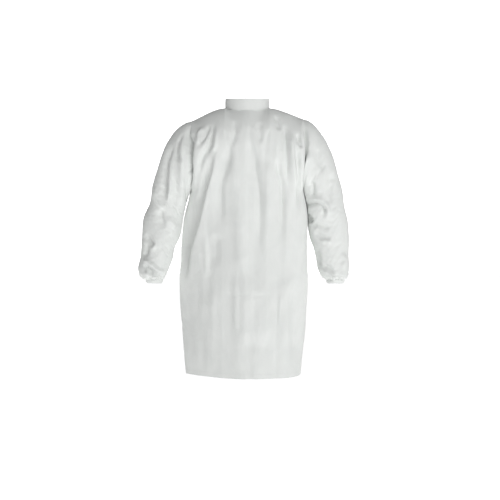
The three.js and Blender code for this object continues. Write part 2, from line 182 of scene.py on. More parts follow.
class NodeTree:
    """A material's nodes, with short calls to add and join them."""

    def __init__(self, name: str) -> None:
        """Makes an empty material with a Principled shader.

        Args:
            name: The material's name.
        """
        self.material = bpy.data.materials.new(name)
        self.material.use_nodes = True
        self.nodes = self.material.node_tree.nodes
        self.shader = self.nodes["Principled BSDF"]

    def add(self, kind: str, **values: object) -> bpy.types.Node:
        """Adds a node and sets its values.

        Args:
            kind: The node's type name.
            values: Sockets by name with underscores for spaces, or the node's own properties.

        Returns:
            The node.
        """
        node = self.nodes.new(kind)
        for key, value in values.items():
            socket = node.inputs.get(key.replace("_", " "))
            if socket is None:
                setattr(node, key, value)
            else:
                socket.default_value = value
        return node

    def join(self, source: bpy.types.NodeSocket, target: bpy.types.NodeSocket) -> None:
        """Links one socket to another."""
        self.material.node_tree.links.new(source, target)

    def place(self, scale: tuple[float, float, float] = (1, 1, 1)) -> bpy.types.NodeSocket:
        """Object coordinates, scaled.

        Args:
            scale: The scale along each axis.

        Returns:
            The mapped coordinates.
        """
        source = self.add("ShaderNodeTexCoord")
        mapping = self.add("ShaderNodeMapping", Scale=scale)
        self.join(source.outputs["Object"], mapping.inputs["Vector"])
        return mapping.outputs["Vector"]

    def noise(self, at: bpy.types.NodeSocket, scale: float, detail: float = 4,
              distortion: float = 0) -> bpy.types.NodeSocket:
        """Fractal noise at coordinates.

        Args:
            at: The coordinates.
            scale: Cells for each unit.
            detail: Octaves.
            distortion: How much it swirls.

        Returns:
            The noise.
        """
        node = self.add("ShaderNodeTexNoise", Scale=scale, Detail=detail, Distortion=distortion)
        self.join(at, node.inputs["Vector"])
        return node.outputs["Fac"]

    def ramp(self, factor: bpy.types.NodeSocket, low: float, high: float,
             colours: Sequence[Sequence[float]]) -> bpy.types.NodeSocket:
        """Two colours over a range of a factor.

        Args:
            factor: The factor.
            low: The factor at the first colour.
            high: The factor at the last colour.
            colours: The two colours.

        Returns:
            The colour.
        """
        node = self.add("ShaderNodeValToRGB")
        for element, at, colour in zip(node.color_ramp.elements, (low, high), colours):
            element.position, element.color = at, (*colour, 1)
        self.join(factor, node.inputs["Fac"])
        return node.outputs["Color"]

    def bump(self, heights: Sequence[tuple[bpy.types.NodeSocket, float, float]]) -> None:
        """Bumps from heights, one on another.

        Args:
            heights: Each height, its strength and its distance in metres.
        """
        below = None
        for height, strength, distance in heights:
            node = self.add("ShaderNodeBump", Strength=strength, Distance=distance)
            self.join(height, node.inputs["Height"])
            if below is not None:
                self.join(below.outputs["Normal"], node.inputs["Normal"])
            below = node
        self.join(below.outputs["Normal"], self.shader.inputs["Normal"])


@dataclass(frozen=True)
class NonWovenFinish:
    """White non-woven cloth: pressed fibres with a faint swirl, and matt.

    Attributes:
        name: The material's name.
        pale: Its colour where the fibres are thick.
        dull: Its colour where they are thin.
        fibre_scale: Fibre swirls for each metre.
        crumple: The strength of its small creases.
    """

    name: str = "non_woven_cloth"
    pale: tuple[float, float, float] = (0.800, 0.818, 0.800)
    dull: tuple[float, float, float] = (0.745, 0.765, 0.748)
    fibre_scale: float = 900
    crumple: float = 0.32

    def material(self) -> bpy.types.Material:
        """Builds the material."""
        t = NodeTree(self.name)
        at = t.place()
        clouds = t.noise(at, 14, 5, 0.6)
        fibres = t.noise(at, self.fibre_scale, 3, 2.2)
        creases = t.noise(t.place((1, 1, 0.55)), 34, 5, 0.9)
        mixed = t.add("ShaderNodeMath", operation="MULTIPLY_ADD")
        mixed.inputs[1].default_value = 0.45
        t.join(fibres, mixed.inputs[0])
        t.join(clouds, mixed.inputs[2])
        t.join(t.ramp(mixed.outputs[0], 0.45, 0.95, (self.dull, self.pale)),
               t.shader.inputs["Base Color"])
        rough = t.add("ShaderNodeMapRange", To_Min=0.6, To_Max=0.78)
        t.join(fibres, rough.inputs["Value"])
        t.join(rough.outputs["Result"], t.shader.inputs["Roughness"])
        t.bump([(creases, self.crumple, 0.0022), (fibres, 0.16, 0.0004)])
        t.shader.inputs["Sheen Weight"].default_value = 0.12
        t.shader.inputs["Sheen Roughness"].default_value = 0.6
        t.shader.inputs["Specular IOR Level"].default_value = 0.28
        return t.material


@dataclass(frozen=True)
class ThreadFinish:
    """White sewing thread with a twist, with painted shading between its strands.

    Attributes:
        name: The material's name.
        colour: Its colour on the raised strands.
        shade: Its colour between them, painted shading where the twist dips.
    """

    name: str = "sewing_thread"
    colour: tuple[float, float, float] = (0.83, 0.84, 0.825)
    shade: tuple[float, float, float] = (0.66, 0.68, 0.665)

    def material(self) -> bpy.types.Material:
        """Builds the material."""
        t = NodeTree(self.name)
        twist = t.noise(t.place((1, 1, 3)), 2400, 2)
        # Painted shading: the colour darkens where the twist dips between the strands.
        t.join(t.ramp(twist, 0.35, 0.7, (self.shade, self.colour)), t.shader.inputs["Base Color"])
        t.bump([(twist, 0.3, 0.0002)])
        t.shader.inputs["Roughness"].default_value = 0.62
        return t.material


@dataclass(frozen=True)
class ElasticFinish:
    """Ribbed white knitted elastic, with painted shading between its ribs.

    Attributes:
        name: The material's name.
        colour: Its colour on the ribs.
        groove: Its colour between the ribs, painted shading in the dips there.
        rib_scale: The scale of the ribs.
    """

    name: str = "ribbed_elastic"
    colour: tuple[float, float, float] = (0.80, 0.79, 0.77)
    groove: tuple[float, float, float] = (0.58, 0.57, 0.55)
    rib_scale: float = 520

    def material(self) -> bpy.types.Material:
        """Builds the material."""
        t = NodeTree(self.name)
        ribs = t.add("ShaderNodeTexWave", Scale=self.rib_scale, Distortion=0.6, bands_direction="Z")
        t.join(t.place(), ribs.inputs["Vector"])
        # Painted shading: the colour darkens in the dips between the ribs.
        t.join(t.ramp(ribs.outputs["Fac"], 0.2, 0.8, (self.groove, self.colour)),
               t.shader.inputs["Base Color"])
        t.bump([(ribs.outputs["Fac"], 0.5, 0.0003)])
        t.shader.inputs["Roughness"].default_value = 0.8
        return t.material


@dataclass(frozen=True)
class PlasticFinish:
    """White moulded plastic with a faint grain and handling haze.

    Attributes:
        name: The material's name.
        colour: Its clean colour.
        haze: Its colour where it is hazed.
    """

    name: str = "snap_plastic"
    colour: tuple[float, float, float] = (0.80, 0.80, 0.785)
    haze: tuple[float, float, float] = (0.73, 0.73, 0.715)

    def material(self) -> bpy.types.Material:
        """Builds the material."""
        t = NodeTree(self.name)
        at = t.place()
        cloud = t.noise(at, 320, 3)
        grain = t.noise(at, 3200, 2)
        t.join(t.ramp(cloud, 0.35, 0.7, (self.haze, self.colour)), t.shader.inputs["Base Color"])
        rough = t.add("ShaderNodeMapRange", To_Min=0.28, To_Max=0.46)
        t.join(cloud, rough.inputs["Value"])
        t.join(rough.outputs["Result"], t.shader.inputs["Roughness"])
        t.bump([(grain, 0.12, 0.0001)])
        return t.material


@dataclass(frozen=True)
class StageFinish:
    """A plain pale floor.

    Attributes:
        name: The material's name.
        colour: Its colour.
        glow: How much light it gives off, which keeps it as pale as the backdrop.
    """

    name: str = "floor_paint"
    colour: tuple[float, float, float] = (0.93, 0.93, 0.93)
    glow: float = 0.76

    def material(self) -> bpy.types.Material:
        """Builds the material."""
        t = NodeTree(self.name)
        t.shader.inputs["Base Color"].default_value = (*self.colour, 1)
        t.shader.inputs["Roughness"].default_value = 0.9
        t.shader.inputs["Emission Color"].default_value = (1, 1, 1, 1)
        t.shader.inputs["Emission Strength"].default_value = self.glow
        return t.material


class Finishes:
    """Every material of the coat, each made once."""

    def __init__(self) -> None:
        """Builds the materials."""
        self.cloth = NonWovenFinish().material()
        self.band = NonWovenFinish("doubled_cloth", (0.79, 0.805, 0.79), (0.735, 0.752, 0.738),
                                   crumple=0.2).material()
        self.label = NonWovenFinish("label_tape", (0.86, 0.86, 0.85), (0.82, 0.82, 0.81),
                                    1500, 0.05).material()
        self.thread = ThreadFinish().material()
        self.elastic = ElasticFinish().material()
        self.plastic = PlasticFinish().material()


# ---- Sheets of cloth ----------------------------------------------------------------------


class ClothGrid:
    """A sheet of cloth as rows and columns of points in millimetres, or a tube of rings."""

    def __init__(self, points: np.ndarray, is_tube: bool = False, flip: bool = False) -> None:
        """Keeps the points.

        Args:
            points: Rows by columns by 3.
            is_tube: Whether the columns close on themselves.
            flip: Whether the outer face is on the other side.
        """
        self.points = np.asarray(points, float)
        self.is_tube = is_tube
        self.flip = flip

    def normals(self) -> np.ndarray:
        """The outward direction at each point."""
        p = self.points
        if self.is_tube:
            wide = np.concatenate([p[:, -1:], p, p[:, :1]], axis=1)
            across = (wide[:, 2:] - wide[:, :-2]) / 2
        else:
            across = np.gradient(p, axis=1)
        n = np.cross(across, np.gradient(p, axis=0))
        n /= np.maximum(np.linalg.norm(n, axis=2, keepdims=True), 1e-9)
        return -n if self.flip else n

    def offset(self, distance: np.ndarray | float) -> "ClothGrid":
        """The same sheet moved outwards.

        Args:
            distance: How far, in all or at each point.

        Returns:
            The moved sheet.
        """
        move = np.broadcast_to(np.asarray(distance, float), self.points.shape[:2])
        return ClothGrid(self.points + self.normals() * move[..., None], self.is_tube, self.flip)

    def column_at(self, x: float) -> float:
        """The column at which the middle row reaches a place across."""
        middle = self.points[len(self.points) // 2, :, 0]
        return float(np.interp(x, middle, np.arange(len(middle))))

    def row_at(self, z: float, column: int) -> float:
        """The row at which a column reaches a height."""
        heights = self.points[:, column, 2]
        return float(np.interp(-z, -heights, np.arange(len(heights))))

    def _between(self, values: np.ndarray, rows: np.ndarray, columns: np.ndarray) -> np.ndarray:
        """Values between the grid's points, by weights of the four nearest."""
        last_row, count = values.shape[0] - 1, values.shape[1]
        r = np.clip(rows, 0, last_row)
        c = columns % count if self.is_tube else np.clip(columns, 0, count - 1)
        i, j = np.minimum(r.astype(int), last_row - 1), c.astype(int)
        if not self.is_tube:
            j = np.minimum(j, count - 2)
        k = (j + 1) % count
        f, g = (r - i)[..., None], (c - j)[..., None]
        return ((values[i, j] * (1 - g) + values[i, k] * g) * (1 - f)
                + (values[i + 1, j] * (1 - g) + values[i + 1, k] * g) * f)

    def patch(self, rows: np.ndarray, columns: np.ndarray,
              lift: np.ndarray | float = 0) -> "ClothGrid":
        """A sheet that lies over part of this one.

        Args:
            rows: Row places, one for each row of the patch, or a full grid of them.
            columns: Column places, likewise.
            lift: How far it lies outside this sheet.

        Returns:
            The patch.
        """
        if rows.ndim == 1:
            rows, columns = np.meshgrid(rows, columns, indexing="ij")
        base = self._between(self.points, rows, columns)
        out = self._between(self.normals(), rows, columns)
        move = np.broadcast_to(np.asarray(lift, float), rows.shape)
        return ClothGrid(base + out * move[..., None], False, self.flip)

    def finer(self, factor: int) -> "ClothGrid":
        """The same sheet with smooth points added between its own.

        Args:
            factor: How many steps replace one.

        Returns:
            The finer sheet.
        """
        p = self.points
        rows = smooth_rows(p, factor)
        if self.is_tube:
            wrapped = np.concatenate([rows[:, -2:], rows, rows[:, :3]], axis=1)
            fine = smooth_rows(wrapped.transpose(1, 0, 2), factor).transpose(1, 0, 2)
            fine = fine[:, 2 * factor: 2 * factor + p.shape[1] * factor]
        else:
            fine = smooth_rows(rows.transpose(1, 0, 2), factor).transpose(1, 0, 2)
        return ClothGrid(fine, self.is_tube, self.flip)

    def area(self) -> float:
        """The sheet's area in square metres."""
        p = self.points
        if self.is_tube:
            p = np.concatenate([p, p[:, :1]], axis=1)
        a, b = p[1:, :-1] - p[:-1, :-1], p[:-1, 1:] - p[:-1, :-1]
        c, d = p[1:, :-1] - p[1:, 1:], p[:-1, 1:] - p[1:, 1:]
        cells = np.linalg.norm(np.cross(a, b), axis=2) + np.linalg.norm(np.cross(c, d), axis=2)
        return float(cells.sum() / 2 * MM * MM)

    def piece(self, name: str, thickness: float, finish: bpy.types.Material,
              rounded: bool = False) -> bpy.types.Object:
        """Makes a closed solid of the sheet, its thickness inwards.

        Args:
            name: The object's name.
            thickness: In millimetres.
            finish: Its material.
            rounded: Whether its edges are round rather than square.

        Returns:
            The object, at the origin.
        """
        outer, inner = self.points, self.points - self.normals() * thickness
        rows, columns = outer.shape[:2]
        layer = rows * columns
        index = np.arange(layer).reshape(rows, columns)
        if self.is_tube:
            index = np.concatenate([index, index[:, :1]], axis=1)
        a, b = index[:-1, :-1].ravel(), index[:-1, 1:].ravel()
        c, d = index[1:, 1:].ravel(), index[1:, :-1].ravel()
        top = np.stack([a, b, c, d], axis=1)
        faces = [top, top[:, ::-1] + layer]
        rims = [index[0], index[-1, ::-1]] if self.is_tube else [
            np.concatenate([index[0], index[1:, -1], index[-1, -2::-1], index[-2::-1, 0]])]
        points = [outer.reshape(-1, 3), inner.reshape(-1, 3)]
        count = 2 * layer
        for rim in rims:
            if rounded:
                edge = self._round_edge(outer, inner, rim, thickness)
                loop = np.arange(count, count + len(rim) - 1)
                loop = np.append(loop, loop[0])
                points.append(edge[:-1])
                count += len(rim) - 1
                lines = (rim, loop, rim + layer)
            else:
                lines = (rim, rim + layer)
            for a, b in zip(lines[:-1], lines[1:]):
                faces.append(np.stack([a[1:], a[:-1], b[:-1], b[1:]], axis=1))
        quads = np.concatenate(faces)
        if self.flip:
            quads = quads[:, ::-1]
        return mesh_object(name, np.concatenate(points), quads, finish)

    def _round_edge(self, outer: np.ndarray, inner: np.ndarray, rim: np.ndarray,
                    thickness: float) -> np.ndarray:
        """The middle line of a rounded edge, pushed out by a third of the thickness."""
        a, b = outer.reshape(-1, 3)[rim], inner.reshape(-1, 3)[rim]
        along = np.empty_like(a)
        along[1:-1] = a[2:] - a[:-2]
        along[0] = along[-1] = a[1] - a[-2]
        out = np.cross(along, a - b)
        out /= np.maximum(np.linalg.norm(out, axis=1, keepdims=True), 1e-9)
        return (a + b) / 2 + out * thickness / (-3 if self.flip else 3)


def smooth_rows(p: np.ndarray, factor: int) -> np.ndarray:
    """Adds smooth rows between the rows of a grid.

    Args:
        p: Rows by columns by 3.
        factor: How many steps replace one.

    Returns:
        The grid with more rows.
    """
    ext = np.concatenate([2 * p[:1] - p[1:2], p, 2 * p[-1:] - p[-2:-1]])
    out = []
    for i in range(len(p) - 1):
        out.extend(catmull_rom(*ext[i: i + 4], k / factor) for k in range(factor))
    out.append(p[-1])
    return np.array(out)


def mesh_object(name: str, points_mm: np.ndarray, faces: np.ndarray | list,
                finish: bpy.types.Material) -> bpy.types.Object:
    """Makes a smooth-shaded object at the origin.

    Args:
        name: Its name.
        points_mm: Its points in millimetres.
        faces: Its faces as point numbers.
        finish: Its material.

    Returns:
        The object.
    """
    mesh = bpy.data.meshes.new(name)
    rows = faces.tolist() if isinstance(faces, np.ndarray) else faces
    mesh.from_pydata((np.asarray(points_mm) * MM).tolist(), [], rows)
    mesh.shade_smooth()
    mesh.set_sharp_from_angle(angle=SHARP_ANGLE)
    mesh.materials.append(finish)
    obj = bpy.data.objects.new(name, mesh)
    bpy.context.scene.collection.objects.link(obj)
    return obj


# ---- Folds --------------------------------------------------------------------------------


@dataclass(frozen=True)
class Fold:
    """A fold in the cloth, seen square on from the front or the back.

    Attributes:
        path: Points as X and Z, from the fold's start to its end.
        height: How far it stands out, or in where it is negative.
        left: Its width on the side that lies left of the path, looking along it from behind.
        right: Its width on the other side.
        sharp: Whether it is a pressed crease rather than a soft fold.
    """

    path: tuple[tuple[float, float], ...]
    height: float
    left: float
    right: float
    sharp: bool = False

    def rise(self, x: np.ndarray, z: np.ndarray) -> np.ndarray:
        """How far the fold lifts the cloth at each place.

        Args:
            x: Places across.
            z: Heights.

        Returns:
            Distances in millimetres.
        """
        steps = 24
        line = smooth_curve(self.path, np.linspace(0, 1, steps + 1))
        best = np.full(x.shape, 1e9)
        side, along = np.zeros(x.shape), np.zeros(x.shape)
        for i, (a, b) in enumerate(zip(line[:-1], line[1:])):
            d = b - a
            t = np.clip(((x - a[0]) * d[0] + (z - a[1]) * d[1]) / (d @ d), 0, 1)
            qx, qz = x - a[0] - t * d[0], z - a[1] - t * d[1]
            distance = np.hypot(qx, qz)
            nearer = distance < best
            best = np.where(nearer, distance, best)
            side = np.where(nearer, d[0] * qz - d[1] * qx, side)
            along = np.where(nearer, (i + t) / steps, along)
        width = np.where(side > 0, self.left, self.right)
        shape = np.exp(-best / width) if self.sharp else np.exp(-((best / width) ** 2))
        fade = smoothstep(along, -0.02, 0.3) * smoothstep(1 - along, -0.02, 0.3)
        return self.height * shape * fade


BACK_FOLDS = (
    # The long valley down the left of the back, and the cloth that turns down into it.
    Fold(((95, -156), (109, -228), (125, -290), (142, -357), (161, -434), (183, -513),
          (197, -578), (214, -660)), 16.8, 10, 56),
    Fold(((114, -156), (127, -228), (142, -290), (161, -357), (180, -434), (201, -513),
          (215, -578), (230, -660)), -18.9, 40, 10),
    Fold(((143, -194), (164, -290), (182, -348)), 7.4, 12, 12),
    Fold(((139, -472), (139, -559), (136, -636)), 7.4, 7, 9),
    # Between the neck, the left shoulder and the armhole.
    Fold(((40, -56), (35, -90), (38, -121), (49, -165)), -8.8, 9, 10),
    Fold(((49, -136), (61, -194), (72, -242), (88, -300), (89, -386), (93, -472)), -14.7, 28, 15),
    Fold(((93, -472), (107, -520), (107, -597)), -6.3, 20, 18),
    Fold(((114, -63), (120, -113), (130, -156), (157, -204), (162, -273)), -12.6, 9, 12),
    Fold(((132, -71), (143, -110), (174, -161)), -10.5, 7, 9),
    Fold(((149, -79), (170, -113), (162, -156)), 7.4, 8, 8),
    Fold(((107, -79), (107, -146), (114, -179)), 7.4, 9, 9),
    Fold(((191, -102), (200, -146), (205, -213), (206, -325)), -23.1, 14, 11),
    # Soft upright folds down the middle.
    Fold(((20, -136), (24, -309), (17, -520), (5, -636)), 9.5, 30, 26),
    Fold(((-12, -127), (-31, -184), (-39, -252), (-51, -309), (-56, -405), (-53, -501),
          (-64, -597)), -14.7, 18, 15),
    Fold(((-51, -63), (-55, -102), (-60, -146)), -5.9, 8, 9),
    Fold(((-78, -204), (-81, -309), (-79, -444)), 9.5, 18, 20),
    Fold(((-118, -192), (-123, -238), (-136, -300), (-136, -386), (-133, -501)), -12.6, 8, 10),
    # Over the right shoulder.
    Fold(((-108, -35), (-124, -69), (-124, -98)), -6.3, 9, 9),
    Fold(((-141, -71), (-147, -127), (-152, -232), (-160, -309)), -11.6, 9, 11),
    Fold(((-162, -88), (-170, -136), (-175, -204), (-183, -280), (-183, -396)), 11.6, 12, 8),
    Fold(((-191, -108), (-200, -135), (-208, -161)), -11.6, 7, 7),
    Fold(((-187, -156), (-195, -213), (-199, -309), (-199, -405)), -12.6, 9, 9),
    # Down the skirt.
    Fold(((-20, -597), (-58, -751), (-68, -885)), 10.5, 46, 46),
    Fold(((34, -597), (32, -751), (34, -828)), 3.8, 11, 13),
    Fold(((76, -655), (57, -808), (59, -991)), -7.4, 34, 30),
    Fold(((-1, -828), (3, -914), (-1, -1010)), -6.3, 22, 22),
    Fold(((-183, -636), (-179, -789), (-187, -981)), -10.5, 20, 26),
    Fold(((-145, -597), (-147, -751), (-152, -885)), 8.4, 22, 26),
    Fold(((168, -712), (174, -847), (168, -991)), 3.4, 20, 18),
    # Lines pressed in by the packet.
    Fold(((118, -636), (115, -828), (116, -1039)), 8.5, 70, 36, sharp=True),
    Fold(((-114, -664), (-116, -828), (-112, -1020)), -6.0, 9, 22, sharp=True),
    Fold(((-124, -684), (-126, -818)), 4.4, 8, 8, sharp=True),
    Fold(((-101, -699), (-1, -693), (91, -701)), -2.0, 10, 8, sharp=True),
)
FRONT_FOLDS = (
    # The front, where the cloth hangs from the chest.
    Fold(((-140, -120), (-120, -320), (-134, -600)), 10.5, 26, 34),
    Fold(((-76, -140), (-84, -360), (-72, -620)), -7.5, 24, 24),
    Fold(((-178, -300), (-186, -520), (-172, -900)), -9.0, 22, 26),
    Fold(((-100, -760), (-112, -860), (-104, -1010)), 7.5, 30, 34),
    Fold(((146, -110), (126, -330), (140, -560)), 10.5, 34, 26),
    Fold(((74, -130), (84, -340), (70, -560)), -7.5, 24, 24),
    Fold(((182, -320), (190, -560), (176, -920)), -9.0, 26, 22),
    Fold(((98, -770), (108, -860), (100, -1010)), 7.5, 34, 30),
    Fold(((70, -60), (110, -96), (170, -150)), 7.5, 12, 14),
    Fold(((-70, -60), (-110, -96), (-170, -150)), 7.5, 14, 12),
    Fold(((86, -70), (140, -150), (190, -200)), -7.5, 12, 12),
    Fold(((-86, -70), (-140, -150), (-190, -200)), -7.5, 12, 12),
    Fold(((196, -280), (160, -340), (120, -360)), 9.0, 14, 12),
    Fold(((-196, -280), (-160, -340), (-120, -360)), 9.0, 12, 14),
    Fold(((200, -330), (164, -392), (130, -420)), -9.0, 12, 12),
    Fold(((-200, -330), (-164, -392), (-130, -420)), -9.0, 12, 12),
)
SLEEVE_BACK_FOLDS = (
    # The left sleeve from behind.
    Fold(((231, -99), (229, -187), (233, -305), (231, -403)), 11.9, 14, 11),
    Fold(((221, -101), (241, -138), (245, -183), (227, -212)), -8.5, 7, 8),
    Fold(((262, -138), (286, -207), (290, -285), (296, -373)), -15.3, 18, 9),
    Fold(((274, -226), (276, -305), (284, -354)), 6.8, 7, 9),
    Fold(((335, -295), (330, -338), (311, -369), (292, -383)), 9.3, 8, 9),
    Fold(((311, -379), (305, -414), (292, -452)), -10.2, 18, 8),
    Fold(((294, -412), (270, -432), (256, -454)), 7.6, 10, 12),
    Fold(((256, -256), (250, -324), (262, -387)), -6.0, 9, 9),
    Fold(((372, -475), (348, -497), (329, -514)), -11.9, 12, 9),
    Fold(((366, -501), (364, -530), (370, -559)), -11.9, 8, 10),
    Fold(((345, -477), (329, -510), (348, -536)), 6.8, 8, 8),
    Fold(((380, -565), (354, -577), (323, -604), (290, -614)), 10.2, 8, 8),
    Fold(((376, -585), (348, -599), (315, -620)), -11.0, 8, 8),
    Fold(((370, -608), (345, -626), (305, -632)), 8.5, 7, 7),
    Fold(((364, -628), (337, -644), (300, -630)), -6.8, 6, 6),
    # The right sleeve from behind.
    Fold(((-218, -118), (-222, -226), (-232, -305)), 8.5, 9, 12),
    Fold(((-243, -177), (-222, -216), (-222, -246)), 7.6, 9, 9),
    Fold(((-265, -158), (-271, -197), (-290, -246)), -6.8, 11, 11),
    Fold(((-241, -275), (-250, -309), (-245, -336)), -11.9, 7, 9),
    Fold(((-210, -375), (-236, -363), (-269, -362), (-291, -383), (-285, -416)), -13.6, 7, 8),
    Fold(((-241, -346), (-277, -348), (-304, -379), (-300, -422)), 9.3, 8, 8),
    Fold(((-226, -399), (-238, -414), (-245, -434)), -22.1, 8, 8),
    Fold(((-240, -438), (-275, -438), (-312, -454)), -9.3, 8, 8),
    Fold(((-257, -461), (-285, -483), (-316, -493)), -8.5, 8, 10),
    Fold(((-275, -501), (-300, -497), (-320, -506)), 6.8, 9, 9),
    Fold(((-326, -246), (-314, -295), (-316, -363)), -8.5, 14, 12),
    Fold(((-357, -540), (-369, -569), (-363, -608)), 6.8, 9, 9),
    Fold(((-261, -520), (-272, -559), (-275, -603)), -11.9, 7, 8),
    Fold(((-277, -585), (-310, -595), (-332, -620)), -9.3, 8, 8),
    Fold(((-287, -599), (-316, -620), (-345, -648)), 9.3, 7, 7),
)
SLEEVE_FRONT_FOLDS = (
    # Both sleeves from the front.
    Fold(((240, -110), (288, -220), (304, -340)), 10.5, 20, 16),
    Fold(((262, -100), (310, -200), (322, -300)), -9.0, 14, 14),
    Fold(((226, -180), (236, -270), (228, -350)), -9.0, 11, 11),
    Fold(((372, -396), (320, -428), (262, -412)), 12.0, 10, 11),
    Fold(((378, -436), (330, -460), (276, -446)), -12.0, 10, 11),
    Fold(((380, -470), (336, -496), (290, -486)), 9.0, 10, 10),
    Fold(((280, -500), (320, -560), (372, -600)), 9.0, 14, 12),
    Fold(((300, -590), (336, -612), (384, -616)), -7.5, 8, 8),
    Fold(((-240, -110), (-288, -220), (-304, -340)), 10.5, 16, 20),
    Fold(((-262, -100), (-310, -200), (-322, -300)), -9.0, 14, 14),
    Fold(((-226, -180), (-236, -270), (-228, -350)), -9.0, 11, 11),
    Fold(((-372, -386), (-320, -418), (-262, -406)), 12.0, 11, 10),
    Fold(((-378, -428), (-330, -456), (-276, -442)), -12.0, 11, 10),
    Fold(((-382, -466), (-336, -490), (-290, -480)), 9.0, 10, 10),
    Fold(((-280, -490), (-320, -550), (-372, -590)), 9.0, 12, 14),
    Fold(((-300, -586), (-336, -608), (-384, -612)), -7.5, 8, 8),
)
FOLDS = {Cloth.BACK: BACK_FOLDS, Cloth.FRONT: FRONT_FOLDS,
         Cloth.SLEEVE_BACK: SLEEVE_BACK_FOLDS, Cloth.SLEEVE_FRONT: SLEEVE_FRONT_FOLDS}


def fold_rise(points: np.ndarray, cloth: Cloth) -> np.ndarray:
    """How far the folds of one part of the coat lift its cloth.

    Args:
        points: Rows by columns by 3.
        cloth: The part.

    Returns:
        Distances in millimetres, rows by columns.
    """
    x, z = points[..., 0], points[..., 2]
    return sum((fold.rise(x, z) for fold in FOLDS[cloth]), np.zeros(x.shape))


# ---- The body of the coat -----------------------------------------------------------------


